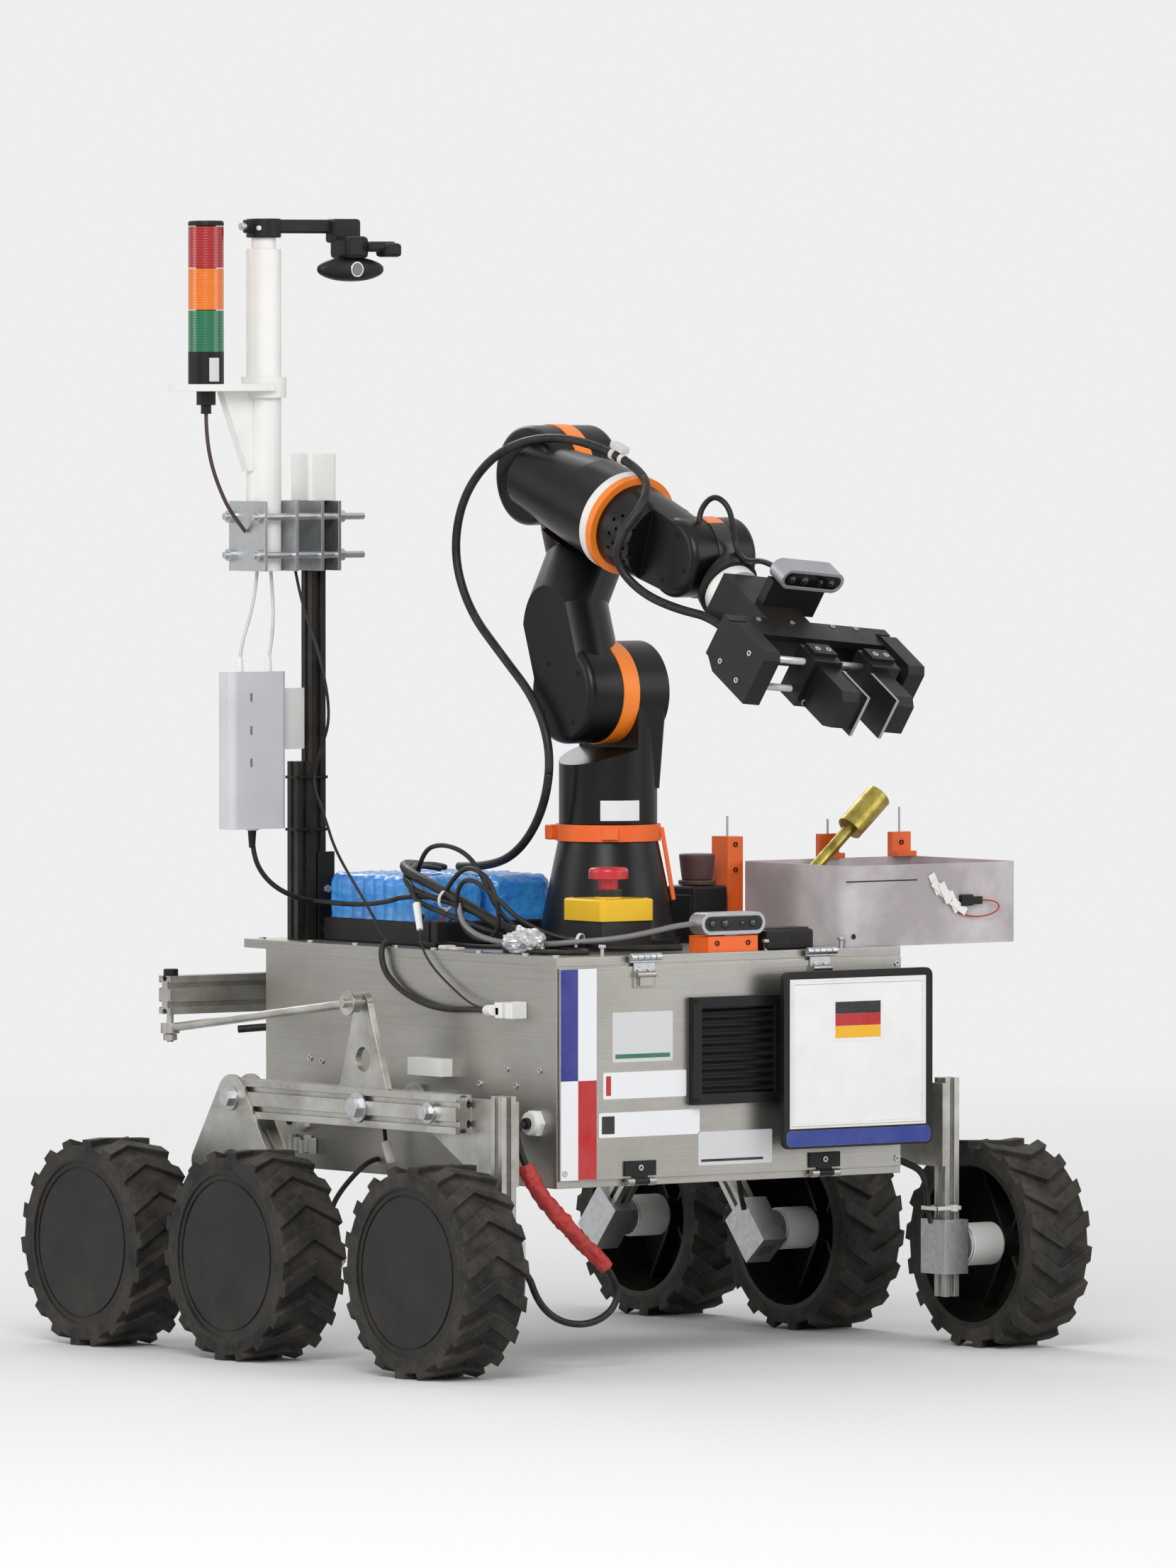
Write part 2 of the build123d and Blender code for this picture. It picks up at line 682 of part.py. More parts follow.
def estop_housing():
    """Base box, wider cover and the collar under the button."""
    half = estop_size / 2
    base_top = deck_z + estop_base_height
    top = base_top + estop_cover_height
    at = Pos(estop_x, estop_y, 0)
    base = at * box(-half + 3, half - 3, -half + 3, half - 3, deck_z, base_top)
    cover = at * box(-half, half, -half, half, base_top, top)
    cover = fillet(cover.edges().filter_by(Axis.Z), 6)
    cover = chamfer(cover.faces().sort_by(Axis.Z)[-1].edges(), 2)
    return base + cover + rod_z(estop_collar_radius, top, top + estop_collar_height, estop_x, estop_y)


def estop_button():
    """Mushroom button."""
    low = deck_z + estop_base_height + estop_cover_height + estop_collar_height
    stem = rod_z(11, low, low + 12, estop_x, estop_y)
    head = rod_z(estop_button_radius, low + 12, low + estop_button_height, estop_x, estop_y)
    return stem + fillet(head.edges().filter_by(GeomType.CIRCLE).sort_by(Axis.Z)[-1], 5)


def camera_shell(length, height, depth):
    """Rounded camera bar that looks along +X, its middle at the origin."""
    shell = extrude(Plane.YZ.offset(-depth / 2) * SlotOverall(length, height), depth)
    return shell - extrude(Plane.YZ.offset(depth / 2 - 1) * SlotOverall(length - 8, height - 8), 2)


def deck_camera():
    """Depth camera on a small post."""
    at = Pos(deck_camera_x, deck_camera_y, deck_camera_z)
    post = box(deck_camera_x - 6, deck_camera_x + 6, deck_camera_y - 9, deck_camera_y + 9,
               deck_z + 18, deck_camera_z - camera_height / 2 + 0.5)
    return at * camera_shell(camera_length, camera_height, camera_depth) + post


def battery_packs():
    """Two wrapped battery blocks side by side."""
    packs = []
    for y in battery_ys:
        block = Pos(battery_x, y, deck_z + battery_height / 2) * Box(
            battery_length, battery_width, battery_height)
        packs.append(chamfer(block.edges().group_by(Axis.Z)[-1], 5))
    return packs


def sample_tray():
    """Open tray with round corners, half of it out over the vehicle's side."""
    (x0, x1), (y0, y1) = tray_x, tray_y
    middle = Pos((x0 + x1) / 2, (y0 + y1) / 2, deck_z)
    outer = extrude(RectangleRounded(x1 - x0, y1 - y0, tray_corner), tray_height)
    inner = extrude(RectangleRounded(x1 - x0 - 2 * tray_wall, y1 - y0 - 2 * tray_wall,
                                     tray_corner - tray_wall), tray_height)
    return middle * (outer - Pos(0, 0, tray_wall) * inner)


def tray_brackets():
    """Printed brackets: one stands on the deck, two hook over the tray, one carries the camera."""
    x0 = tray_x[0]
    pieces = [box(x0 - 30, x0, tray_y[0] - 16, tray_y[0] + 6, deck_z, bracket_top_z)
              - box(x0 - 24, x0 - 6, tray_y[0] - 17, tray_y[0] + 7, deck_z + 20, deck_z + 60)]
    top = deck_z + tray_height
    for y in hook_ys:
        hook = box(x0 - 8, x0, y - 14, y + 14, deck_z + 30, bracket_top_z)
        hook += box(x0 - 8, x0 + tray_wall + hook_reach, y - 14, y + 14, top, top + 6)
        pieces.append(hook)
    pieces.append(box(deck_camera_x - 26, deck_camera_x + 10, deck_camera_y - 34, deck_camera_y + 36,
                      deck_z, deck_z + 18))
    return pieces


def deck_modules():
    """Black electronics boxes, and the round sensor on one of them."""
    top = deck_z + tall_module_height
    tall = box(*tall_module_x, *tall_module_y, deck_z, top)
    cup = rod_z(cup_radius, top, top + cup_height, sum(tall_module_x) / 2, sum(tall_module_y) / 2)
    low = box(*low_module_x, *low_module_y, deck_z, deck_z + low_module_height)
    return [fillet(tall.edges().filter_by(Axis.Z), 4) + cup, fillet(low.edges().filter_by(Axis.Z), 3)]


def core_tube():
    """Core sampler with a thick head, leaning in the tray against the middle bracket."""
    foot_z = deck_z + tray_wall + core_stem_radius * sin(radians(core_lean))
    x = tray_x[0] + tray_wall + hook_reach + core_stem_radius
    at = Pos(x, core_foot_y, foot_z) * Rot(-core_lean, 0, 0)
    tube = rod_z(core_stem_radius, 0, core_stem_length)
    return at * (tube + rod_z(core_head_radius, core_stem_length, core_stem_length + core_head_length))


# Mast

def mast_post():
    """Main profile, the short profile beside it and the foot plate."""
    tall = Pos(mast_x, post_y, deck_z) * profile(post_width, post_width, post_top_z - deck_z)
    short = Pos(mast_x, post_y - post_width, deck_z)
    short = short * profile(post_width, post_width, short_post_top_z - deck_z)
    half = post_width / 2
    left = post_y + half
    foot = box(mast_x - half, mast_x + half, left, left + 4, deck_z, foot_top_z)
    foot += box(mast_x - half, mast_x + half, left, left + 34, deck_z, deck_z + 4)
    return tall + short + foot


def mast_prints():
    """White cap on the post, and the shelf and brace of the signal tower, and the radio's plate."""
    cap = box(mast_x - cap_size / 2, mast_x + cap_size / 2, post_y - cap_size / 2,
              post_y + cap_size / 2, post_top_z, post_top_z + cap_height)
    cap = fillet(cap.edges().filter_by(Axis.Z), 5)
    shelf_y = pole_y - 6
    shelf = box(mast_x - tower_shelf_width / 2, mast_x + tower_shelf_width / 2,
                tower_y - 31, shelf_y, tower_shelf_z, tower_shelf_z + tower_shelf_height)
    shelf += slab_x([(shelf_y, tower_shelf_z), (shelf_y, tower_shelf_z - 92),
                     (shelf_y - 20, tower_shelf_z - 92), (shelf_y - 56, tower_shelf_z)],
                    mast_x - 6, mast_x + 6)
    shelf += rod_z(pole_radius + 6, tower_shelf_z - 8, tower_shelf_z + 16, mast_x, pole_y)
    shelf -= rod_z(pole_radius, tower_shelf_z - 100, tower_shelf_z + 20, mast_x, pole_y)
    plate = box(mast_x - 8, mast_x - 4, radio_y + radio_width / 2, post_y - post_width / 2,
                radio_bottom_z + 90, radio_bottom_z + 160)
    return [cap, shelf, plate]


def mast_clamp():
    """Three plates and four long bolts that tie the antenna tube to the post."""
    half = clamp_half_width
    low, high = clamp_bottom_z, post_top_z
    pole_out, pole_in = pole_y - pole_radius, pole_y + pole_radius
    post_out, post_in = post_y - post_width / 2, post_y + post_width / 2
    # Plates: the Y planes between which each one lies
    plates = ((pole_out - clamp_plate, pole_out), (pole_in, pole_in + clamp_plate),
              (post_out - clamp_plate, post_out), (post_in, post_in + clamp_plate))
    clamp = box(mast_x - half, mast_x - half + clamp_plate, pole_in, post_out, low, high)
    for y0, y1 in plates:
        clamp += box(mast_x - half, mast_x + half, y0, y1, low, high)
    for x in (mast_x - 28, mast_x + 28):
        for z in (low + 18, high - 18):
            clamp += rod_y(4, pole_out - 16, post_in + 40, x, z)
            clamp += rod_y(7, pole_out - 11, pole_out - clamp_plate, x, z)
            clamp += rod_y(7, post_in + clamp_plate, post_in + 11, x, z)
    return clamp


def antenna_tube():
    """White tube with the dark inner pole that stands out of its top."""
    outer = rod_z(pole_radius, clamp_bottom_z, pole_top_z, mast_x, pole_y)
    outer -= rod_z(pole_bore_radius, clamp_bottom_z - 1, pole_top_z - 30, mast_x, pole_y)
    return outer + rod_z(inner_pole_radius, pole_top_z, inner_pole_top_z, mast_x, pole_y)


def mast_camera():
    """Camera bar on the pole's top, with a clip and the camera below its end."""
    (y0, y1), (z0, z1) = camera_bar_y, camera_bar_z
    bar = box(mast_x - 5, mast_x + 5, y0, y1, z0 + 6, z1)
    bar += rod_z(inner_pole_radius + 6, z0, z1, mast_x, pole_y)
    bar -= rod_z(inner_pole_radius, z0 - 1, inner_pole_top_z, mast_x, pole_y)
    clip_top = z0 + 6
    clip = box(mast_x - 5, mast_x + 30, mast_camera_y - 10, mast_camera_y + 10,
               mast_camera_z + 14, clip_top)
    shell = camera_shell(camera_length, 29, 24)
    return bar + clip + Pos(mast_x + 20, mast_camera_y, mast_camera_z) * shell


def lamp_base():
    """Black foot, gland, core rod and top cap of the signal tower."""
    low = tower_shelf_z + tower_shelf_height
    lens_low = low + tower_base_height
    lens_high = lens_low + 3 * (lens_height + lens_gap)
    base = rod_z(tower_radius, low, lens_low, mast_x, tower_y)
    base += rod_z(tower_radius - 9, lens_low, lens_high, mast_x, tower_y)
    cap = rod_z(tower_radius, lens_high, lens_high + 6, mast_x, tower_y)
    cap = fillet(cap.edges().filter_by(GeomType.CIRCLE).sort_by(Axis.Z)[-1], 3)
    gland = rod_z(11, tower_shelf_z - 16, tower_shelf_z, mast_x, tower_y)
    gland += rod_z(6, tower_shelf_z - 26, tower_shelf_z - 16, mast_x, tower_y)
    return [base + cap, gland]


def lamp_lenses():
    """Three coloured lens rings, green below, then amber, then red."""
    low = tower_shelf_z + tower_shelf_height + tower_base_height
    lenses = []
    for index in range(3):
        z = low + index * (lens_height + lens_gap)
        ring = rod_z(tower_radius, z, z + lens_height, mast_x, tower_y)
        lenses.append(ring - rod_z(tower_radius - 9, z - 1, z + lens_height + 1, mast_x, tower_y))
    return lenses


def radio_box():
    """Slim white radio with round edges."""
    radio = Pos(mast_x, radio_y, radio_bottom_z + radio_height / 2) * Box(
        radio_depth, radio_width, radio_height)
    return fillet(radio.edges().filter_by(Axis.Z), 8)


# Arm: joint cylinders lie along Y; each is split by its ring

def shoulder():
    """Column with a slanted top and the left half of the second joint."""
    low = skirt_top_z + base_ring_height + joint_gap
    column = rod_z(column_radius, low, j2_z, arm_x)
    cut_y = ring_y + ring_width / 2
    slope = (column_top_high_z - column_top_low_z) / (cut_y + column_radius)
    far = -column_radius - 10
    cutter = slab_x([(cut_y, column_top_high_z), (cut_y, j2_z + 10), (far, j2_z + 10),
                     (far, column_top_low_z - 10 * slope)],
                    arm_x - column_radius - 5, arm_x + column_radius + 5)
    column -= cutter
    joint = rod_y(j2_radius, cut_y, j2_left_y, arm_x, j2_z)
    neck = loft([Pos(arm_x, (cut_y + j2_left_y) / 2, low + 40)
                 * RectangleRounded(2 * column_radius - 24, j2_left_y - cut_y, 8),
                 Pos(arm_x, (cut_y + j2_left_y) / 2, j2_z)
                 * RectangleRounded(2 * j2_radius - 1, j2_left_y - cut_y, 8)])
    shape = column + joint + neck
    shape -= rod_y(j2_radius + scoop_clearance, far, cut_y, arm_x, j2_z)
    rim = shape.edges().filter_by(GeomType.CIRCLE).group_by(Axis.Y)[-1]
    return fillet(rim, edge_round)


def shoulder_ring():
    """Orange ring between the halves of the second joint."""
    half = ring_width / 2
    return rod_y(j2_radius + ring_proud, ring_y - half, ring_y + half, arm_x, j2_z)


def upper_arm():
    """S-shaped tube from the right half of joint two to the left half of joint three."""
    half = ring_width / 2
    low_face = ring_y - half - joint_gap
    high_face = ring_y + half
    at = Pos(arm_x, 0, j2_z) * Rot(0, -upper_lean, 0)
    s0, s1 = upper_cross
    low = at * rod_z(upper_radius, 0, s0, 0, upper_low_y)
    cross = at * loft([Pos(0, upper_low_y, s0) * Circle(upper_radius),
                       Pos(0, upper_high_y, s1) * Circle(upper_radius)])
    high = at * rod_z(upper_radius, s1, upper_length, 0, upper_high_y)
    tube = low + cross + high
    tube -= rod_y(j2_radius + scoop_clearance, low_face, j2_left_y + 60, arm_x, j2_z)
    tube -= rod_y(j3_radius + scoop_clearance, high_face, j3_right_y - 60, j3_x, j3_z)
    right = rod_y(j2_radius, j2_right_y, low_face, arm_x, j2_z)
    right = fillet(right.edges().filter_by(GeomType.CIRCLE).sort_by(Axis.Y)[0], edge_round)
    left = rod_y(j3_radius, high_face, j3_left_y, j3_x, j3_z)
    left = fillet(left.edges().filter_by(GeomType.CIRCLE).sort_by(Axis.Y)[-1], edge_round)
    tube -= slab_far(j3_left_y)
    tube -= slab_near(j2_right_y)
    return tube - elbow_room() + right + left


def elbow_room():
    """Space beside the upper arm that the elbow's tube needs when it folds to its limit."""
    at = Pos(j3_x, forearm_y, j3_z) * Rot(0, forearm_droop + fold_limit, 0)
    room = at * rod_x(elbow_radius[1] + scoop_clearance, 0, elbow_reach + 2)
    near = ring_y - ring_width / 2 + scoop_clearance
    return room & slab_near(near)


def upper_arm_room():
    """Space beside the elbow that the upper arm needs when the elbow folds to its limit."""
    at = Pos(j3_x, 0, j3_z) * Rot(0, 180 - upper_lean - fold_limit, 0)
    face = ring_y - ring_width / 2 - joint_gap
    half = upper_radius + scoop_clearance
    return at * box(-half, half, face, face + 160, 0, upper_length)


def slab_far(y):
    """Everything to the left of a Y plane, near the arm."""
    return box(arm_x - 300, arm_x + 300, y, y + 100, j2_z - 100, j3_z + 100)


def slab_near(y):
    """Everything to the right of a Y plane, near the arm."""
    return box(arm_x - 300, arm_x + 300, y - 200, y, j2_z - 100, j3_z + 100)


def elbow_ring():
    """Orange ring of the third joint."""
    half = ring_width / 2
    return rod_y(j3_radius + ring_proud, ring_y - half, ring_y + half, j3_x, j3_z)


def elbow():
    """Right half of the third joint and the tube that grows out of it."""
    face = ring_y - ring_width / 2 - joint_gap
    joint = rod_y(j3_radius, j3_right_y, face, j3_x, j3_z)
    joint = fillet(joint.edges().filter_by(GeomType.CIRCLE).sort_by(Axis.Y)[0], edge_round)
    start_y = (j3_right_y + face) / 2 - forearm_y
    r0, r1 = elbow_radius
    sections = ((0.0, start_y, r0), (100.0, 0.0, r1), (elbow_reach, 0.0, r1 + 1))
    tube = None
    for (s0, y0, r0), (s1, y1, r1) in zip(sections, sections[1:]):
        piece = loft([Pos(s0, y0, 0) * Rot(0, 90, 0) * Circle(r0),
                      Pos(s1, y1, 0) * Rot(0, 90, 0) * Circle(r1)])
        tube = piece if tube is None else tube + piece
    tube = forearm_at * tube
    tube -= rod_y(j3_radius + scoop_clearance, face, face + 160, j3_x, j3_z)
    return tube - upper_arm_room() + joint


def forearm_ring():
    """White strap band and orange ring of the fourth joint."""
    start = elbow_reach + joint_gap
    middle = start + band_width * 0.55
    return [forearm_at * rod_x(band_radius, start, middle),
            forearm_at * rod_x(band_radius, middle, start + band_width)]


def forearm():
    """Tapering tube with vent holes, and the right half of the fifth joint."""
    start = elbow_reach + joint_gap + band_width
    face = j5_ring_y - ring_width / 2
    r0, r1 = forearm_radius
    end = forearm_length
    tube = loft([Pos(start, 0, 0) * Rot(0, 90, 0) * Circle(r0),
                 Pos(end, 0, 0) * Rot(0, 90, 0) * Circle(r1)])
    tube -= vent_holes(start)
    tube = forearm_at * tube
    tube -= rod_y(j5_radius + wrist_swing, face, face + 160, j5_x, j5_z)
    joint = rod_y(j5_radius, j5_right_y, face, j5_x, j5_z)
    joint = fillet(joint.edges().filter_by(GeomType.CIRCLE).sort_by(Axis.Y)[0], edge_round)
    tube -= box(j5_x - 300, j5_x + 100, forearm_y - 80, j5_right_y, j5_z - 70, j5_z + 60) - (
        forearm_at * box(-100, end - 46, -100, 100, -100, 100))
    return tube + joint


def vent_holes(start):
    """Blind vent holes on the right-hand side, in offset rows."""
    holes = None
    for row in range(5):
        count = 4 if row % 2 else 3
        for index in range(count):
            angle = 90 + (index - (count - 1) / 2) * 20
            hole = Rot(angle, 0, 0) * Pos(start + 22 + row * 9, 0, forearm_radius[1] - 4)
            hole = hole * extrude(RegularPolygon(2.6, 6), 20)
            holes = hole if holes is None else holes + hole
    return holes


def wrist_ring():
    """Orange ring of the fifth joint."""
    half = ring_width / 2
    return rod_y(j5_radius + ring_proud, j5_ring_y - half, j5_ring_y + half, j5_x, j5_z)


def wrist():
    """Left half of the fifth joint and the short tube to the flange."""
    face = j5_ring_y + ring_width / 2 + joint_gap
    joint = rod_y(j5_radius, face, j5_left_y, j5_x, j5_z)
    joint = fillet(joint.edges().filter_by(GeomType.CIRCLE).sort_by(Axis.Y)[-1], edge_round)
    tube = loft([Pos(0, 10, 0) * Rot(0, 90, 0) * Circle(wrist_radius - 6),
                 Pos(wrist_length, 0, 0) * Rot(0, 90, 0) * Circle(wrist_radius)])
    tube = wrist_at * tube
    tube -= rod_y(j5_radius + wrist_scoop, face - 160, face, j5_x, j5_z)
    return tube + joint


# Hand

def tool_flange():
    """White flange that turns on the wrist."""
    return wrist_at * rod_x(flange_radius, wrist_length + joint_gap, flange_offset)


def gripper_frame():
    """Open frame: adaptor, back plate, two end blocks, top rail and the guide rods."""
    half = hand_half_height
    frame = box(0, hand_back_x, -32, 32, -28, 28)
    frame += box(55, 67, -22, 58, 20, 61)
    frame += box(hand_back_x, hand_back_x + 12, hand_right - hand_block, hand_left + hand_block, -half + 10, half - 4)
    side = [(hand_back_x, -20), (hand_back_x, 20), (hand_back_x + 22, half), (hand_front_x - 6, half),
            (hand_front_x, half - 8), (hand_front_x, -half), (hand_back_x + 22, -half)]
    frame += slab_y(side, hand_right - hand_block, hand_right)
    frame += slab_y(side, hand_left, hand_left + hand_block)
    frame += box(hand_back_x + 12, hand_back_x + 36, hand_right, hand_left, half - 12, half - 4)
    for z in (-guide_z, guide_z):
        frame += rod_y(guide_radius, hand_right - 1, hand_left + 1, guide_x, z)
    return hand_at * frame


def hand_camera():
    """Depth camera above the adaptor."""
    return hand_at * Pos(68, 20, 73.5) * camera_shell(camera_length, camera_height, camera_depth)


def jaw(side):
    """One carriage on the guide rods with its finger; side is -1 for the right-hand jaw."""
    middle = jaw_mid_y + side * carriage_offset
    x0, x1 = carriage_x
    low, high = middle - carriage_width / 2, middle + carriage_width / 2
    piece = box(x0, x1, low, high, -hand_half_height + 3, hand_half_height - 3)
    piece += box(x0 + 4, x1 - 10, low + 4, high - 4, hand_half_height - 3, hand_half_height + 2)
    for z in (-guide_z, guide_z):
        piece -= rod_y(guide_radius + guide_clearance, low - 1, high + 1, guide_x, z)
    grip = jaw_mid_y + side * jaw_half_gap
    back = grip + side * jaw_thickness
    z0, z1 = jaw_z
    tip = x1 + jaw_length
    y_low, y_high = min(grip, back), max(grip, back)
    finger = slab_y([(x1, z0), (x1, z1), (tip - 12, z1), (tip - 3, z1 - 8), (tip - 3, z0 + 6), (tip - 16, z0)],
                    y_low, y_high)
    pad = box(x1 + 4, tip, grip, grip + side * pad_thickness, z0 - 1, z1 + 1)
    return hand_at * (piece + finger + pad)


# Cords: points along each route, chosen by eye

arm_cable_points = (
    (-130, -78, 548.3), (-62, -82, 549.5), (0, -84, 573), (42, -84, 622), (52, -82, 684),
    (20, -80, 742), (-45, -80, 792), (-108, -80, 842), (-138, -80, 905), (-122, -80, 970),
    (-72, -76, 1018), (-5, -70, 1040), (60, -54, 1040), (125, -34, 1018), (180, -40, 993),
    (202, -66, 965), (190, -90, 932), (180, -88, 900), (205, -72, 868), (258, -62, 850),
    (320, -50, 840), (372.6, -49, 807.3))
radio_cable_points = (
    (-262, -275, 592), (-262, -275, 562), (-252, -262, 532), (-238, -235, 513),
    (-238, -190, 506), (-245, -152, 503), (-247, -128, 489), (-247, -128, 463))
gland_cable_points = ((241, -256, 277), (241, -272, 277), (248, -278, 255), (256, -271, 232))
bundle_points = ((256, -271, 232), (264, -264, 205), (268, -240, 178), (272, -207, 147), (272, -172, 116))
leg_cable_points = (
    (272, -172, 116), (272, -152, 94), (271, -158, 66), (269, -190, 50),
    (267, -230, 54), (265, -260, 76), (262, -275, 118), (262, -297.9, 118))


def leg_cable():
    """Gland lead, taped bundle and the loop back to the front motor."""
    return (cord(gland_cable_points, leg_cable_diameter) + cord(bundle_points, bundle_diameter)
            + cord(leg_cable_points, leg_cable_diameter))


# Assembly

nodes = {
    "chassis_tub": chassis_tub(),
    "deck_lid": deck_lid(),
    "rocker_arms": both_sides(rocker_arm()),
    "bogie_arms": both_sides(bogie_arm()),
    "pivot_bolts": pivot_bolts(),
    "wheel_motors": wheel_motors(),
    "differential": differential(),
    "side_fittings": side_fittings(),
    "arm_base": arm_base(),
    "arm_base_ring": arm_base_ring(),
    "estop_housing": estop_housing(),
    "estop_button": estop_button(),
    "deck_camera": deck_camera(),
    "battery_packs": battery_packs(),
    "sample_tray": sample_tray(),
    "tray_brackets": tray_brackets(),
    "deck_modules": deck_modules(),
    "core_tube": core_tube(),
    "mast_post": mast_post(),
    "mast_prints": mast_prints(),
    "mast_clamp": mast_clamp(),
    "antenna_tube": antenna_tube(),
    "mast_camera": mast_camera(),
    "lamp_base": lamp_base(),
    "lamp_lenses": lamp_lenses(),
    "radio_box": radio_box(),
    "radio_cable": cord(radio_cable_points, radio_cable_diameter),
    "leg_cable": leg_cable(),
    "arm_cable": cord(arm_cable_points, arm_cable_diameter),
    "door_panel": door_panel(),
    "door_hinges": door_hinges(),
    "vent_grille": vent_grille(),
    "plate_holder": plate_holder(),
    "number_plate": number_plate(),
    "shoulder": shoulder(),
    "shoulder_ring": shoulder_ring(),
    "upper_arm": upper_arm(),
    "elbow_ring": elbow_ring(),
    "elbow": elbow(),
    "forearm_ring": forearm_ring(),
    "forearm": forearm(),
    "wrist_ring": wrist_ring(),
    "wrist": wrist(),
    "tool_flange": tool_flange(),
    "gripper_frame": gripper_frame(),
    "hand_camera": hand_camera(),
    "jaw_right": jaw(-1),
    "jaw_left": jaw(1),
}

left_tyre, left_hub = tyre(), hub()
for axle_name, axle_x in (("front", front_axle_x), ("mid", mid_axle_x), ("rear", rear_axle_x)):
    for side_name, side, turn in (("right", -1, 180), ("left", 1, 0)):
        at = Pos(axle_x, side * wheel_y, axle_z) * Rot(0, 0, turn)
        nodes["tyre_" + axle_name + "_" + side_name] = at * left_tyre
        nodes["hub_" + axle_name + "_" + side_name] = at * left_hub


def solids_of(shape):
    """All the solids in a shape or in a list of shapes."""
    if isinstance(shape, (list, ShapeList)):
        return [solid for item in shape for solid in solids_of(item)]
    return list(shape.solids())


nodes = {name: solids_of(shape) for name, shape in nodes.items()}
boxes = [solid.bounding_box() for name, solids in nodes.items()
         if not name.endswith("cable") for solid in solids]
middle_x = (min(b.min.X for b in boxes) + max(b.max.X for b in boxes)) / 2
print("middle_x", round(middle_x, 4), "lowest z", round(min(b.min.Z for b in boxes), 4))

os.makedirs("parts", exist_ok=True)
for name, solids in nodes.items():
    moved = [Pos(-middle_x, 0, 0) * solid for solid in solids]
    shape = moved[0] if len(moved) == 1 else Compound(children=moved)
    export_step(shape, "parts/" + name + ".step")
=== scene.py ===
import json
import math
import bmesh
import bpy
from mathutils import Matrix, Vector, noise


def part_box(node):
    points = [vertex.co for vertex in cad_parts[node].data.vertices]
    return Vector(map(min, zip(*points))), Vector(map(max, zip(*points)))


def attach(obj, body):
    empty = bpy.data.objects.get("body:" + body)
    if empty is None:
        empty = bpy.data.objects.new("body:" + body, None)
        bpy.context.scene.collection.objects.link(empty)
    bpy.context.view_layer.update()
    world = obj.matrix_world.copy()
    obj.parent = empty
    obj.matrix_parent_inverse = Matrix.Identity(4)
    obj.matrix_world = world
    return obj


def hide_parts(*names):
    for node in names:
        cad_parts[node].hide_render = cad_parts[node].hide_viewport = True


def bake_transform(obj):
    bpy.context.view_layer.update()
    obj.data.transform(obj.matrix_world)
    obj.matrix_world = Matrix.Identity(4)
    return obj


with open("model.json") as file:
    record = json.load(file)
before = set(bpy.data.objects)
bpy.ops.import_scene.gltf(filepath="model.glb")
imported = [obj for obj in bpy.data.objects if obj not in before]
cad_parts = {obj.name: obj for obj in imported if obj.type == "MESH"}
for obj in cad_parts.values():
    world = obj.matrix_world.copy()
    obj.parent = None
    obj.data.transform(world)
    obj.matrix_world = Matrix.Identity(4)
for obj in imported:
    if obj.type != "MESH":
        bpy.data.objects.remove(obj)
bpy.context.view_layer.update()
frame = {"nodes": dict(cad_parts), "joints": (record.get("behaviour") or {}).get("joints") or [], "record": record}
print("frame loaded:", len(frame["nodes"]), "nodes")

# Places below are in millimetres from the middle of the body, as in the part's source
mm = 0.001
batteryRearX = -0.234
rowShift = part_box("battery_packs")[0][0] - batteryRearX


def row(x, y, z):
    return Vector((x / 1000 + rowShift, y / 1000, z / 1000))


def linear(red, green, blue):
    def channel(value):
        value /= 255
        return value / 12.92 if value <= 0.04045 else ((value + 0.055) / 1.055) ** 2.4
    return (channel(red), channel(green), channel(blue), 1.0)


jointOf = {joint["name"]: joint for joint in frame["joints"]}


# Node building

def wire(tree, value, socket):
    if isinstance(value, bpy.types.NodeSocket):
        tree.links.new(value, socket)
    else:
        socket.default_value = value


def addNode(tree, kind, inputs=None, **settings):
    made = tree.nodes.new(kind)
    for key, value in settings.items():
        setattr(made, key, value)
    for key, value in (inputs or {}).items():
        wire(tree, value, made.inputs[key])
    return made


def maths(tree, operation, first, second=0.0, clamp=False):
    made = addNode(tree, "ShaderNodeMath", operation=operation, use_clamp=clamp)
    wire(tree, first, made.inputs[0])
    wire(tree, second, made.inputs[1])
    return made.outputs[0]


def mixColours(tree, factor, first, second, blend="MIX"):
    made = addNode(tree, "ShaderNodeMix", data_type="RGBA", blend_type=blend)
    wire(tree, factor, made.inputs[0])
    wire(tree, first, made.inputs[6])
    wire(tree, second, made.inputs[7])
    return made.outputs[2]


def remap(tree, value, fromLow, fromHigh, toLow=0.0, toHigh=1.0):
    made = addNode(tree, "ShaderNodeMapRange", {
        "Value": value, "From Min": fromLow, "From Max": fromHigh, "To Min": toLow, "To Max": toHigh})
    return made.outputs[0]


def objectPoint(tree):
    return addNode(tree, "ShaderNodeTexCoord").outputs["Object"]


def axisOf(tree, vector, axis):
    return addNode(tree, "ShaderNodeSeparateXYZ", {"Vector": vector}).outputs[axis]


def stretched(tree, vector, scale):
    return addNode(tree, "ShaderNodeMapping", {"Vector": vector, "Scale": scale}).outputs[0]


def cloudy(tree, vector, scale, detail=4.0, rough=0.6):
    made = addNode(tree, "ShaderNodeTexNoise", {
        "Vector": vector, "Scale": scale, "Detail": detail, "Roughness": rough})
    return made.outputs[0]


def newGroup(name, inputs, outputs):
    group = bpy.data.node_groups.new(name, "ShaderNodeTree")
    for label, kind, value in inputs:
        group.interface.new_socket(label, in_out="INPUT", socket_type=kind).default_value = value
    for label, kind in outputs:
        group.interface.new_socket(label, in_out="OUTPUT", socket_type=kind)
    return group, group.nodes.new("NodeGroupInput").outputs, group.nodes.new("NodeGroupOutput").inputs


floatKind, colourKind, vectorKind = "NodeSocketFloat", "NodeSocketColor", "NodeSocketVector"


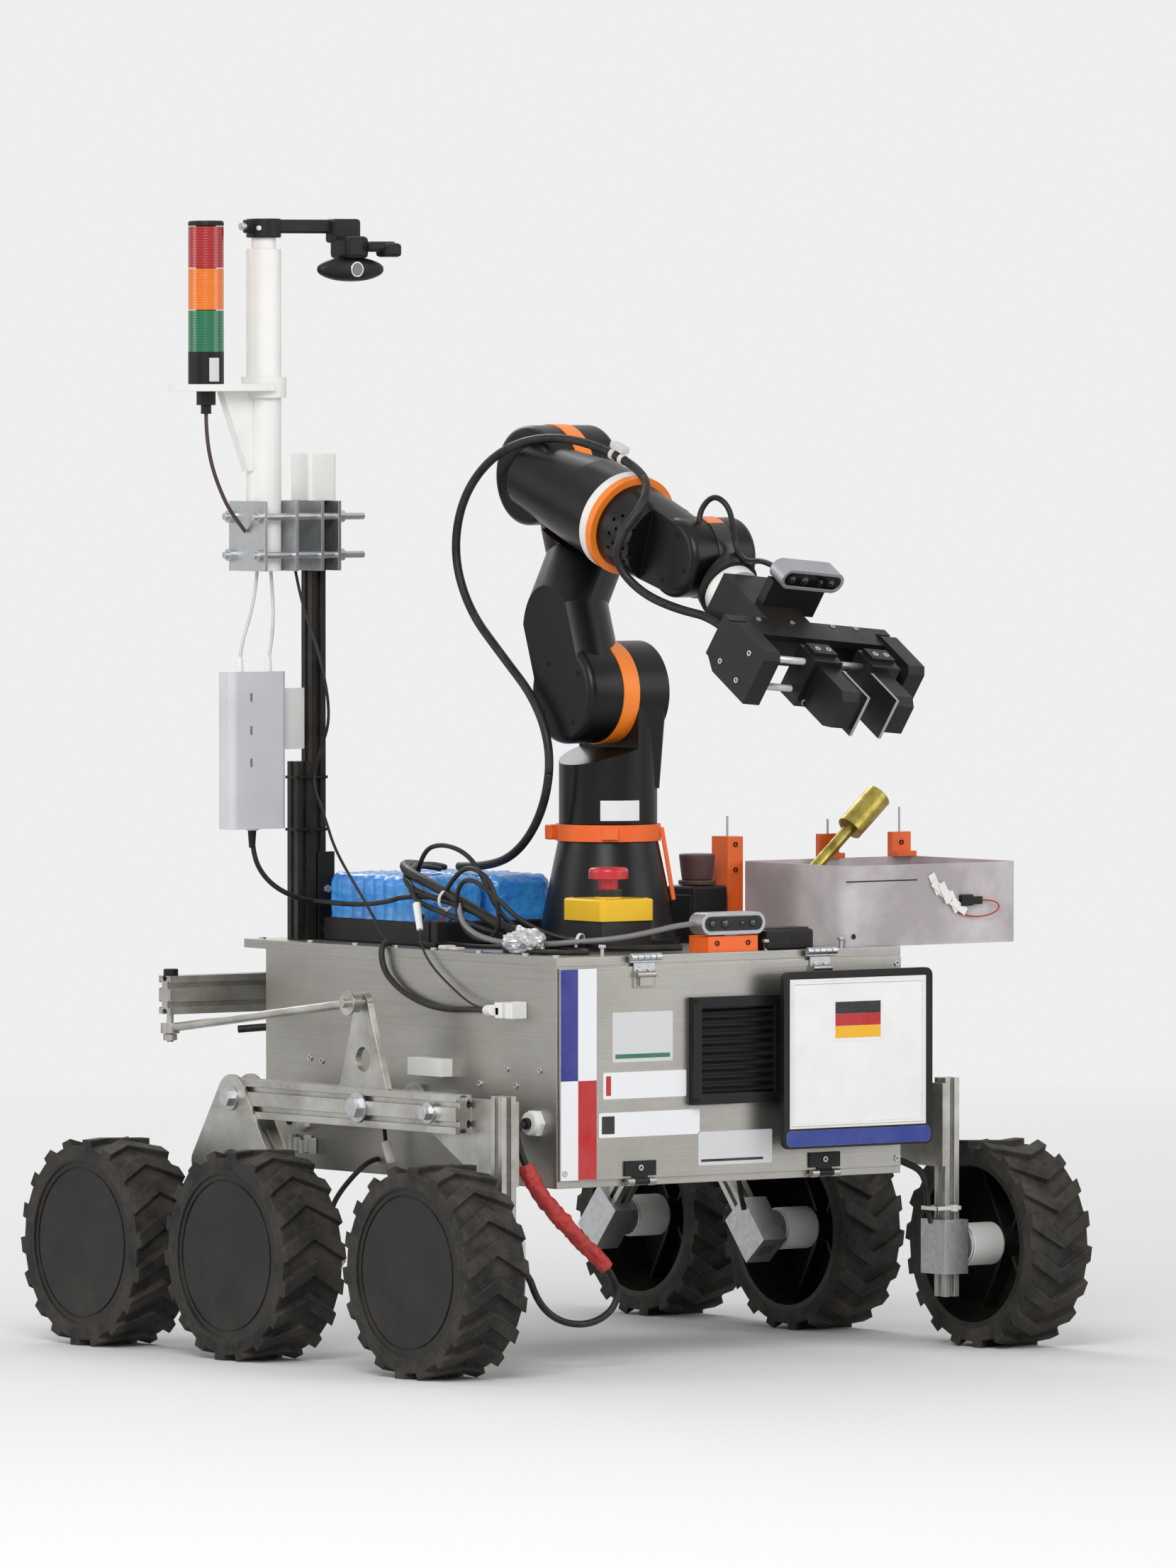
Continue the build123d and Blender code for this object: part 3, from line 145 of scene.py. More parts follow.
def makeDustFilm():
    # Dust lies on faces that look up, thicker near the ground
    group, given, result = newGroup("dustFilm", [
        ("Color", colourKind, (0.5, 0.5, 0.5, 1)), ("Dust Color", colourKind, linear(178, 160, 134)),
        ("Amount", floatKind, 0.3), ("Scale", floatKind, 9.0), ("Low Height", floatKind, 0.3)],
        [("Color", colourKind), ("Mask", floatKind)])
    coords = addNode(group, "ShaderNodeTexCoord").outputs
    facing = remap(group, axisOf(group, coords["Normal"], 2), -0.4, 1.0, 0.15, 1.0)
    height = axisOf(group, coords["Object"], 2)
    near = maths(group, "DIVIDE", height, given["Low Height"])
    low = remap(group, near, 0.0, 1.0, 0.9, 0.0)
    cover = maths(group, "MAXIMUM", facing, low)
    patches = remap(group, cloudy(group, coords["Object"], given["Scale"], 6.0, 0.68), 0.34, 0.68)
    specks = remap(group, cloudy(group, coords["Object"], 620.0, 2.0, 0.5), 0.5, 0.75, 0.75, 1.25)
    mask = maths(group, "MULTIPLY", maths(group, "MULTIPLY", cover, patches), specks)
    mask = maths(group, "MULTIPLY", mask, given["Amount"], clamp=True)
    wire(group, mixColours(group, mask, given["Color"], given["Dust Color"]), result["Color"])
    wire(group, mask, result["Mask"])
    return group


def makeEdgeWear():
    group, given, result = newGroup("edgeWear", [
        ("Color", colourKind, (0.5, 0.5, 0.5, 1)), ("Edge Color", colourKind, (0.8, 0.8, 0.8, 1)),
        ("Radius", floatKind, 0.0015), ("Amount", floatKind, 0.6)],
        [("Color", colourKind), ("Normal", vectorKind)])
    rounded = addNode(group, "ShaderNodeBevel", {"Radius": given["Radius"]}, samples=4)
    plain = addNode(group, "ShaderNodeNewGeometry").outputs["Normal"]
    alike = addNode(group, "ShaderNodeVectorMath", {0: rounded.outputs[0], 1: plain}, operation="DOT_PRODUCT")
    edge = remap(group, alike.outputs["Value"], 0.985, 0.80)
    chips = remap(group, cloudy(group, objectPoint(group), 150.0, 5.0, 0.7), 0.38, 0.62)
    mask = maths(group, "MULTIPLY", maths(group, "MULTIPLY", edge, chips), given["Amount"], clamp=True)
    wire(group, mixColours(group, mask, given["Color"], given["Edge Color"]), result["Color"])
    wire(group, rounded.outputs[0], result["Normal"])
    return group


def makeBrushing():
    # Long fine streaks, smudges left by hands, and a few scratches
    group, given, result = newGroup("brushing", [
        ("Stretch", vectorKind, (7.0, 7.0, 900.0)), ("Smudge Scale", floatKind, 7.0)],
        [("Height", floatKind), ("Streak", floatKind), ("Smudge", floatKind)])
    coords = objectPoint(group)
    streak = cloudy(group, stretched(group, coords, given["Stretch"]), 1.0, 5.0, 0.7)
    smudge = remap(group, cloudy(group, coords, given["Smudge Scale"], 7.0, 0.62), 0.36, 0.66)
    tilted = addNode(group, "ShaderNodeMapping", {
        "Vector": coords, "Rotation": (0.5, 0.9, 0.6), "Scale": (9.0, 260.0, 9.0)}).outputs[0]
    scratch = remap(group, cloudy(group, tilted, 1.0, 1.0, 0.3), 0.70, 0.74)
    height = maths(group, "SUBTRACT", streak, maths(group, "MULTIPLY", scratch, 0.5))
    wire(group, height, result["Height"])
    wire(group, streak, result["Streak"])
    wire(group, smudge, result["Smudge"])
    return group


def makeMouldSkin():
    group, given, result = newGroup("mouldSkin", [
        ("Grain Scale", floatKind, 1500.0), ("Mottle Scale", floatKind, 14.0)],
        [("Height", floatKind), ("Mottle", floatKind)])
    coords = objectPoint(group)
    wire(group, cloudy(group, coords, given["Grain Scale"], 2.0, 0.5), result["Height"])
    wire(group, cloudy(group, coords, given["Mottle Scale"], 5.0, 0.6), result["Mottle"])
    return group


def makePrintLines():
    group, given, result = newGroup(
        "printLines", [("Layers Per Metre", floatKind, 9000.0)], [("Height", floatKind)])
    layers = maths(group, "MULTIPLY", axisOf(group, objectPoint(group), 2), given["Layers Per Metre"])
    wire(group, maths(group, "SINE", layers), result["Height"])
    return group


dustFilm, edgeWear, brushing = makeDustFilm(), makeEdgeWear(), makeBrushing()
mouldSkin, printLines = makeMouldSkin(), makePrintLines()


def useGroup(tree, group, **inputs):
    made = tree.nodes.new("ShaderNodeGroup")
    made.node_tree = group
    for key, value in inputs.items():
        label = "".join(" " + letter if letter.isupper() else letter for letter in key)
        wire(tree, value, made.inputs[label[0].upper() + label[1:]])
    return made.outputs


def newFinish(name, **sockets):
    material = bpy.data.materials.new(name)
    material.use_nodes = True
    tree = material.node_tree
    shader = tree.nodes["Principled BSDF"]
    for key, value in sockets.items():
        label = "Specular IOR Level" if key == "specularLevel" else "".join(
            " " + letter if letter.isupper() else letter for letter in key).strip()
        shader.inputs[label].default_value = value
    return material, tree, shader.inputs


def bumped(tree, height, distance, strength, normal=None):
    made = addNode(tree, "ShaderNodeBump", {"Height": height, "Distance": distance, "Strength": strength})
    if normal is not None:
        wire(tree, normal, made.inputs["Normal"])
    return made.outputs[0]


# Finishes. In a look, "edge" is colour, radius and amount, "dust" is amount, scale and low height,
# "dustyMetal" is how metallic the clean and the dusty part are, "dustyRough" is what full dust adds to
# the roughness, and "bump" is distance and strength.

def dress(tree, shader, colour, look, rough=None, height=None):
    # The top layers: worn edges, then dust, and what the dust does to metal and roughness
    normal = mask = None
    if "edge" in look:
        edgeColour, radius, amount = look["edge"]
        worn = useGroup(tree, edgeWear, color=colour, edgeColor=edgeColour, radius=radius, amount=amount)
        colour, normal = worn["Color"], worn["Normal"]
    if "dust" in look:
        amount, scale, lowHeight = look["dust"]
        dusty = useGroup(tree, dustFilm, color=colour, amount=amount, scale=scale, lowHeight=lowHeight)
        colour, mask = dusty["Color"], dusty["Mask"]
    wire(tree, colour, shader["Base Color"])
    if "dustyMetal" in look:
        wire(tree, remap(tree, mask, 0.0, 1.0, *look["dustyMetal"]), shader["Metallic"])
    if "dustyRough" in look:
        rough = maths(tree, "ADD", rough, maths(tree, "MULTIPLY", mask, look["dustyRough"]))
    if rough is not None:
        wire(tree, rough, shader["Roughness"])
    if height is not None:
        wire(tree, bumped(tree, height, *look["bump"], normal), shader["Normal"])


sheetLook = {"light": linear(182, 180, 175), "dark": linear(138, 135, 129), "dust": (0.20, 16.0, 0.25),
             "edge": (linear(226, 224, 219), 0.0012, 0.7), "dustyMetal": (0.92, 0.25), "dustyRough": 0.35,
             "bump": (0.00012, 0.5)}


def brushedSheet():
    material, tree, shader = newFinish("brushedSheet", Metallic=0.92)
    grain = useGroup(tree, brushing)
    soft = maths(tree, "MULTIPLY", grain["Smudge"], 0.5)
    colour = mixColours(tree, soft, sheetLook["light"], sheetLook["dark"])
    colour = mixColours(tree, remap(tree, grain["Streak"], 0.3, 0.7, 0.0, 0.45), colour, sheetLook["dark"])
    rough = remap(tree, grain["Smudge"], 0.0, 1.0, 0.27, 0.40)
    dress(tree, shader, colour, sheetLook, rough, grain["Height"])
    return material


profileLook = {"light": linear(196, 195, 190), "dark": linear(150, 148, 142), "dust": (0.3, 22.0, 0.2),
               "edge": (linear(228, 227, 224), 0.0009, 0.8), "dustyMetal": (0.9, 0.2), "dustyRough": 0.47,
               "bump": (0.00008, 0.5)}


def slottedProfile():
    material, tree, shader = newFinish("slottedProfile", Metallic=0.88)
    grain = useGroup(tree, brushing, stretch=(5.0, 700.0, 700.0), smudgeScale=16.0)
    colour = mixColours(tree, grain["Smudge"], profileLook["light"], profileLook["dark"])
    dress(tree, shader, colour, profileLook, 0.33, grain["Height"])
    return material


zincLook = {"light": linear(196, 199, 201), "dark": linear(181, 184, 187), "dust": (0.25, 24.0, 0.15),
            "edge": (linear(226, 228, 230), 0.0009, 0.6), "dustyMetal": (0.9, 0.2), "dustyRough": 0.35,
            "bump": (0.00006, 0.3)}


def zincCoat():
    material, tree, shader = newFinish("zincCoat", Metallic=0.9)
    spangle = addNode(tree, "ShaderNodeTexVoronoi", {"Vector": objectPoint(tree), "Scale": 170.0})
    patch = axisOf(tree, spangle.outputs["Color"], 0)
    colour = mixColours(tree, patch, zincLook["light"], zincLook["dark"])
    dress(tree, shader, colour, zincLook, remap(tree, patch, 0.0, 1.0, 0.28, 0.38), patch)
    return material


# Moulded plastics: colour, worn edge colour, roughness, dust amount, coat
plasticLooks = {
    "black_plastic": (linear(18, 18, 19), linear(70, 69, 66), 0.42, 0.05, 0.0),
    "arm_black": (linear(12, 12, 13), linear(44, 43, 42), 0.32, 0.02, 0.0),
    "hub_black": (linear(15, 15, 16), linear(72, 70, 66), 0.40, 0.09, 0.0),
    "orange_plastic": (linear(245, 104, 26), linear(252, 160, 96), 0.46, 0.14, 0.0),
    "ringOrange": (linear(250, 132, 28), linear(252, 178, 108), 0.40, 0.04, 0.1),
    "yellow_plastic": (linear(246, 196, 22), linear(252, 224, 120), 0.34, 0.10, 0.25),
    "red_plastic": (linear(196, 22, 36), linear(226, 90, 96), 0.30, 0.06, 0.35),
    "white_plastic": (linear(234, 234, 231), linear(246, 246, 244), 0.42, 0.08, 0.1),
    # The radio box's white plastic, painted greyer: painted shade
    "radioWhitePaintedShade": (linear(206, 208, 212), linear(230, 231, 234), 0.36, 0.05, 0.1),
}


def mouldedPlastic(slotName):
    body, edge, rough, dust, coat = plasticLooks[slotName]
    material, tree, shader = newFinish(slotName + "Finish", CoatWeight=coat, CoatRoughness=0.25,
                                       specularLevel=0.26 if body[0] < 0.02 else 0.5)
    skin = useGroup(tree, mouldSkin)
    tone = remap(tree, skin["Mottle"], 0.3, 0.7, 0.93, 1.04)
    grey = addNode(tree, "ShaderNodeCombineXYZ", {"X": tone, "Y": tone, "Z": tone}).outputs[0]
    height = skin["Height"]
    if slotName == "orange_plastic":
        height = maths(tree, "ADD", height, useGroup(tree, printLines)["Height"])
    look = {"edge": (edge, 0.0010, 0.45), "dust": (dust, 11.0, 0.26), "dustyRough": 0.4,
            "bump": (0.00006, 0.5)}
    dress(tree, shader, mixColours(tree, 1.0, body, grey, "MULTIPLY"), look,
          remap(tree, skin["Mottle"], 0.3, 0.7, rough - 0.06, rough + 0.07), height)
    return material


def splitPlastic(name, nearSlot, farSlot, point, facing, reach=1.0):
    # Two colours in one moulding, parted by a plane; the far colour goes on for the reach given
    near, far = plasticLooks[nearSlot], plasticLooks[farSlot]
    material, tree, shader = newFinish(name)
    away = addNode(tree, "ShaderNodeVectorMath", {0: objectPoint(tree), 1: tuple(point)},
                   operation="SUBTRACT").outputs[0]
    along = addNode(tree, "ShaderNodeVectorMath", {0: away, 1: tuple(facing)},
                    operation="DOT_PRODUCT").outputs["Value"]
    side = maths(tree, "MULTIPLY", maths(tree, "GREATER_THAN", along, 0.0),
                 maths(tree, "LESS_THAN", along, reach))
    mottle = useGroup(tree, mouldSkin)
    tone = remap(tree, mottle["Mottle"], 0.3, 0.7, 0.0, 0.12)
    colour = mixColours(tree, tone, mixColours(tree, side, near[0], far[0]), (0, 0, 0, 1))
    look = {"edge": (far[1], 0.0010, 0.3), "dust": (0.10, 11.0, 0.26), "bump": (0.00006, 0.5)}
    dress(tree, shader, colour, look, remap(tree, mottle["Mottle"], 0.3, 0.7, near[2] - 0.05, near[2] + 0.08),
          mottle["Height"])
    return material


rubberLook = {"rubber": linear(23, 23, 23), "pale": linear(118, 111, 100), "dust": (0.10, 26.0, 0.05),
              "edge": (linear(100, 96, 90), 0.0028, 0.5), "bump": (0.0005, 0.5)}


def dustyRubber():
    material, tree, shader = newFinish("dustyRubber", specularLevel=0.35)
    coords = objectPoint(tree)
    fine = cloudy(tree, coords, 240.0, 5.0, 0.65)
    patches = remap(tree, cloudy(tree, coords, 26.0, 6.0, 0.66), 0.38, 0.70)
    patches = maths(tree, "MULTIPLY", patches, 0.16)
    colour = mixColours(tree, patches, rubberLook["rubber"], rubberLook["pale"])
    dress(tree, shader, colour, rubberLook, remap(tree, fine, 0.3, 0.7, 0.66, 0.88), fine)
    return material


def translucentTray():
    material, tree, shader = newFinish(
        "translucentTray", Roughness=0.34, SubsurfaceWeight=0.3, SubsurfaceScale=0.01, Alpha=0.8)
    haze = cloudy(tree, objectPoint(tree), 9.0, 4.0, 0.55)
    colour = mixColours(tree, remap(tree, haze, 0.36, 0.60), linear(222, 220, 222), linear(180, 175, 178))
    dress(tree, shader, colour, {"dust": (0.10, 9.0, 0.3), "bump": (0.0006, 0.3)},
          remap(tree, haze, 0.3, 0.7, 0.28, 0.5), haze)
    return material


def shrinkWrap():
    # Thin film over cells: soft creases that run across the packs
    material, tree, shader = newFinish("shrinkWrap", Roughness=0.26, CoatWeight=0.3, CoatRoughness=0.15)
    coords = objectPoint(tree)
    creases = cloudy(tree, stretched(tree, coords, (90.0, 18.0, 14.0)), 1.0, 4.0, 0.6)
    cells = maths(tree, "SINE", maths(tree, "MULTIPLY", axisOf(tree, coords, 0), 330.0))
    colour = mixColours(tree, remap(tree, creases, 0.3, 0.75), linear(66, 160, 236), linear(34, 116, 204))
    height = maths(tree, "ADD", creases, maths(tree, "MULTIPLY", cells, 0.35))
    dress(tree, shader, colour, {"dust": (0.12, 14.0, 0.3), "bump": (0.0022, 0.7)}, height=height)
    return material


def blastedSilver():
    material, tree, shader = newFinish("blastedSilver", Metallic=0.85, Roughness=0.42)
    skin = useGroup(tree, mouldSkin, grainScale=2600.0, mottleScale=30.0)
    colour = mixColours(tree, skin["Mottle"], linear(186, 188, 192), linear(150, 152, 156))
    look = {"edge": (linear(225, 226, 228), 0.0008, 0.5), "bump": (0.00005, 0.6)}
    dress(tree, shader, colour, look, height=skin["Height"])
    return material


def turnedBrass():
    material, tree, shader = newFinish("turnedBrass", Metallic=0.95)
    coords = objectPoint(tree)
    stain = cloudy(tree, coords, 38.0, 6.0, 0.66)
    rings = cloudy(tree, stretched(tree, coords, (60.0, 900.0, 900.0)), 1.0, 2.0, 0.5)
    colour = mixColours(tree, remap(tree, stain, 0.35, 0.65), linear(180, 164, 84), linear(124, 110, 50))
    look = {"edge": (linear(232, 214, 140), 0.0010, 0.6), "bump": (0.00012, 0.5)}
    dress(tree, shader, colour, look, remap(tree, stain, 0.3, 0.7, 0.26, 0.5), rings)
    return material


def blackAnodised():
    material, tree, shader = newFinish("blackAnodised", Metallic=0.55)
    grain = useGroup(tree, brushing, stretch=(700.0, 700.0, 5.0), smudgeScale=18.0)
    colour = mixColours(tree, grain["Smudge"], linear(34, 34, 35), linear(22, 22, 23))
    look = {"edge": (linear(120, 120, 120), 0.0008, 0.5), "dust": (0.25, 14.0, 0.3), "bump": (0.00006, 0.5)}
    dress(tree, shader, colour, look, remap(tree, grain["Streak"], 0.3, 0.7, 0.32, 0.48), grain["Height"])
    return material


# Signal tower: the height where one lens ends and the next begins, and each lens's colour
lensLook = {"greenTop": 1.1858, "amberTop": 1.2336, "green": linear(4, 104, 66),
            "amber": linear(224, 112, 12), "red": linear(158, 12, 20), "bump": (0.0002, 0.3)}


def lensPlastic():
    material, tree, shader = newFinish(
        "lensPlastic", Roughness=0.16, SubsurfaceWeight=0.2, SubsurfaceScale=0.01, CoatWeight=0.5,
        CoatRoughness=0.08)
    coords = objectPoint(tree)
    height = axisOf(tree, coords, 2)
    amber = maths(tree, "GREATER_THAN", height, lensLook["greenTop"])
    red = maths(tree, "GREATER_THAN", height, lensLook["amberTop"])
    colour = mixColours(tree, amber, lensLook["green"], lensLook["amber"])
    colour = mixColours(tree, red, colour, lensLook["red"])
    glow = remap(tree, cloudy(tree, coords, 60.0, 3.0, 0.5), 0.3, 0.7, 0.0, 0.12)
    ribs = maths(tree, "SINE", maths(tree, "MULTIPLY", height, 2100.0))
    dress(tree, shader, mixColours(tree, glow, colour, (1, 1, 1, 1), "SOFT_LIGHT"), lensLook, height=ribs)
    return material


def cordJacket(name="cordJacket", body=linear(15, 15, 16), rough=0.42):
    material, tree, shader = newFinish(name, specularLevel=0.28 if body[0] < 0.02 else 0.5)
    skin = useGroup(tree, mouldSkin, grainScale=900.0, mottleScale=40.0)
    colour = mixColours(tree, remap(tree, skin["Mottle"], 0.35, 0.65, 0.0, 0.5), body, linear(96, 92, 86))
    dress(tree, shader, mixColours(tree, 0.6, colour, body), {"bump": (0.0001, 0.5)},
          remap(tree, skin["Mottle"], 0.3, 0.7, rough - 0.08, rough + 0.12), skin["Height"])
    return material


def plateSheet():
    material, tree, shader = newFinish("plateSheet", Roughness=0.38, CoatWeight=0.4, CoatRoughness=0.2)
    coords = objectPoint(tree)
    cells = addNode(tree, "ShaderNodeTexVoronoi", {"Vector": coords, "Scale": 900.0}).outputs["Distance"]
    haze = remap(tree, cloudy(tree, coords, 18.0, 5.0, 0.6), 0.3, 0.7)
    colour = mixColours(tree, haze, linear(236, 236, 235), linear(227, 227, 226))
    look = {"edge": (linear(150, 146, 142), 0.0010, 0.5), "dust": (0.08, 10.0, 0.3), "bump": (0.00008, 0.4)}
    dress(tree, shader, colour, look, height=cells)
    return material


def vinyl(name, base, rough=0.42):
    material, tree, shader = newFinish(name, CoatWeight=0.08, CoatRoughness=0.3, specularLevel=0.3)
    mottle = useGroup(tree, mouldSkin, grainScale=500.0, mottleScale=26.0)["Mottle"]
    faded = mixColours(tree, remap(tree, mottle, 0.3, 0.7, 0.0, 0.06), base, linear(206, 204, 200))
    look = {"edge": (linear(176, 172, 166), 0.0014, 0.4), "dust": (0.08, 16.0, 0.3)}
    dress(tree, shader, faded, look, remap(tree, mottle, 0.3, 0.7, rough - 0.05, rough + 0.1))
    wire(tree, bumped(tree, mottle, 0.0004, 0.25), shader["Normal"])
    return material


def darkGlass():
    material, tree, shader = newFinish("darkGlass", CoatWeight=1.0, CoatRoughness=0.03)
    haze = cloudy(tree, objectPoint(tree), 90.0, 3.0, 0.5)
    dress(tree, shader, mixColours(tree, haze, linear(10, 10, 12), linear(20, 20, 24)), {},
          remap(tree, haze, 0.3, 0.7, 0.06, 0.14))
    return material


# The named finishes, first those of the part's material slots
finishOf = {
    "bare_aluminium": brushedSheet(), "profile_aluminium": slottedProfile(), "zinc_steel": zincCoat(),
    "tray_plastic": translucentTray(), "blue_wrap": shrinkWrap(), "camera_silver": blastedSilver(),
    "brass": turnedBrass(), "black_profile": blackAnodised(), "lens_plastic": lensPlastic(),
    "cord_black": cordJacket(), "tyre_rubber": dustyRubber(), "plate_grey": plateSheet(),
    **{slotName: mouldedPlastic(slotName) for slotName in plasticLooks},
}

# Elbow and wrist, from the shoulder and the lengths and lean of the arm's links
armLook = {"x": 50.0, "z": 751.0, "upper": 260.0, "fore": 278.0, "droop": math.radians(18.9)}
droopSine, droopCosine = math.sin(armLook["droop"]), math.cos(armLook["droop"])
elbowX, elbowZ = armLook["x"] - armLook["upper"] * droopSine, armLook["z"] + armLook["upper"] * droopCosine
wristX, wristZ = elbowX + armLook["fore"] * droopCosine, elbowZ - armLook["fore"] * droopSine
forearmWay = Vector((droopCosine, 0, -droopSine))

# Nodes with a finish of their own, some with a second colour in the moulding
nodeFinish = {
    "estop_housing": splitPlastic("estopShell", "black_plastic", "yellow_plastic", (0, 0, 0.4975), (0, 0, 1),
                                  0.0262),
    "forearm_ring": splitPlastic("forearmBand", "white_plastic", "ringOrange",
                                 row(elbowX, -26, elbowZ) + forearmWay * 0.1637, forearmWay),
    "shoulder_ring": finishOf["ringOrange"], "elbow_ring": finishOf["ringOrange"],
    # The radio box: white plastic painted greyer, as painted shade
    "radio_box": finishOf["radioWhitePaintedShade"],
    "wrist_ring": splitPlastic("wristBand", "arm_black", "ringOrange",
                               row(wristX, -26, wristZ) + Vector((0, 0, 0.030)), (-0.35, 0, 0.94)),
}

for part in frame["record"]["subparts"]:
    node = frame["nodes"][part["node"]]
    node.data.materials.clear()
    node.data.materials.append(nodeFinish.get(part["node"], finishOf[part["material_slot"]]))
print("finishes on every node:", len(finishOf))


# Pieces

def newObject(name, data):
    made = bpy.data.objects.new(name, data)
    bpy.context.scene.collection.objects.link(made)
    return made


def addPiece(name, mesh, body, slotName, finish=None, smooth=False, hides=()):
    piece = newObject(name, mesh)
    mesh.materials.clear()
    mesh.materials.append(finish or finishOf[slotName])
    for face in mesh.polygons:
        face.use_smooth = smooth
    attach(piece, body)
    if hides:
        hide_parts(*hides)
    return piece


def meshFrom(form, name):
    bmesh.ops.recalc_face_normals(form, faces=form.faces)
    mesh = bpy.data.meshes.new(name)
    form.to_mesh(mesh)
    form.free()
    return mesh


def bridgeRings(form, rings):
    # Walls from ring to ring, and a face on each end
    for near, far in zip(rings, rings[1:]):
        for step in range(len(near)):
            after = (step + 1) % len(near)
            form.faces.new((near[step], near[after], far[after], far[step]))
    form.faces.new(list(reversed(rings[0])))
    form.faces.new(rings[-1])


def addBlock(form, low, high, place=None, rounding=0.0):
    # A block between two corners, with rounded edges
    middle = (Vector(low) + Vector(high)) / 2
    size = Vector(high) - Vector(low)
    matrix = Matrix.Translation(middle) @ Matrix.Diagonal((*[abs(side) for side in size], 1))
    made = bmesh.ops.create_cube(form, size=1.0, matrix=matrix)["verts"]
    if rounding:
        edges = list({edge for vertex in made for edge in vertex.link_edges})
        made = list(set(bmesh.ops.bevel(form, geom=edges, offset=rounding, segments=2, affect="EDGES",
                                        profile=0.5)["verts"]))
    if place is not None:
        bmesh.ops.transform(form, matrix=place, verts=made)


def addDrum(form, start, end, radius, segments=24, rounding=0.0, endRadius=None):
    # A round bar from one point to another
    axis = Vector(end) - Vector(start)
    turn = axis.to_track_quat("Z", "Y").to_matrix().to_4x4()
    place = Matrix.Translation((Vector(start) + Vector(end)) / 2) @ turn
    made = bmesh.ops.create_cone(form, cap_ends=True, segments=segments, radius1=radius,
                                 radius2=endRadius or radius, depth=axis.length, matrix=place)["verts"]
    if rounding:
        rims = [edge for edge in {edge for vertex in made for edge in vertex.link_edges}
                if any(len(face.verts) > 4 for face in edge.link_faces)]
        bmesh.ops.bevel(form, geom=rims, offset=rounding, segments=2, affect="EDGES", profile=0.5)


def rowBlock(form, low, high, rounding=0.0):
    addBlock(form, row(*low), row(*high), rounding=rounding * mm)


def rowDrum(form, start, end, radius, segments=24, rounding=0.0, endRadius=None):
    addDrum(form, row(*start), row(*end), radius * mm, segments, rounding * mm, endRadius and endRadius * mm)


def addTrim(name, body, slotName, blocks=(), drums=(), finish=None, hides=()):
    # A block is two corners and a rounding; a drum two ends, a radius and addDrum's other settings
    form = bmesh.new()
    for block in blocks:
        rowBlock(form, *block)
    for drum in drums:
        rowDrum(form, *drum)
    addPiece(name, meshFrom(form, name), body, slotName, finish, hides=hides)


def jointMatrix(jointName, left):
    # Axes that follow a joint: x forward, y left, z up
    x = Vector(jointOf[jointName]["axis"]).normalized()
    z = x.cross(Vector(left).normalized()).normalized()
    matrix = Matrix((x, z.cross(x), z)).transposed().to_4x4()
    matrix.translation = Vector(jointOf[jointName]["pos_m"])
    return matrix


bodyAt = Matrix.Translation(row(0, 0, 0))
handAt = jointMatrix("arm_6_hand", jointOf["finger_left_slide"]["axis"])
forearmAt = jointMatrix("arm_4_roll", (0, 1, 0))


def handPoint(x, y, z):
    return handAt @ Vector((x * mm, y * mm, z * mm))


def turned(matrix, vector):
    return (matrix.to_3x3() @ Vector(vector)).normalized()


# Screws and ties: one head or ring on each point, turned to the point's facing

def newRepeatTree(name, sizes, makeOne):
    tree = bpy.data.node_groups.new(name, "GeometryNodeTree")
    sockets = {}
    for label, kind in (("Geometry", "NodeSocketGeometry"), *[(size, floatKind) for size in sizes],
                        ("Finish", "NodeSocketMaterial")):
        sockets[label] = tree.interface.new_socket(label, in_out="INPUT", socket_type=kind).identifier
    tree.interface.new_socket("Geometry", in_out="OUTPUT", socket_type="NodeSocketGeometry")
    given = tree.nodes.new("NodeGroupInput").outputs
    facing = addNode(tree, "GeometryNodeInputNamedAttribute", {"Name": "facing"}, data_type="FLOAT_VECTOR")
    turn = addNode(tree, "FunctionNodeAlignRotationToVector", {"Vector": facing.outputs[0]}, axis="Z")
    copies = addNode(tree, "GeometryNodeInstanceOnPoints", {
        "Points": given["Geometry"], "Instance": makeOne(tree, given), "Rotation": turn.outputs[0]})
    real = addNode(tree, "GeometryNodeRealizeInstances", {"Geometry": copies.outputs[0]})
    dressed = addNode(tree, "GeometryNodeSetMaterial", {
        "Geometry": real.outputs[0], "Material": given["Finish"]})
    wire(tree, dressed.outputs[0], tree.nodes.new("NodeGroupOutput").inputs[0])
    return tree, sockets


def screwHead(tree, given):
    head = addNode(tree, "GeometryNodeMeshCylinder", {
        "Vertices": 12, "Radius": given["Head Radius"], "Depth": given["Head Height"]})
    rim = addNode(tree, "GeometryNodeExtrudeMesh", {
        "Mesh": head.outputs["Mesh"], "Selection": head.outputs["Top"], "Individual": False,
        "Offset Scale": 0.0})
    inset = addNode(tree, "GeometryNodeScaleElements", {
        "Geometry": rim.outputs["Mesh"], "Selection": rim.outputs["Top"], "Scale": given["Socket Share"]})
    return addNode(tree, "GeometryNodeExtrudeMesh", {
        "Mesh": inset.outputs["Geometry"], "Selection": rim.outputs["Top"], "Individual": False,
        "Offset Scale": maths(tree, "MULTIPLY", given["Head Height"], -0.6)}).outputs["Mesh"]


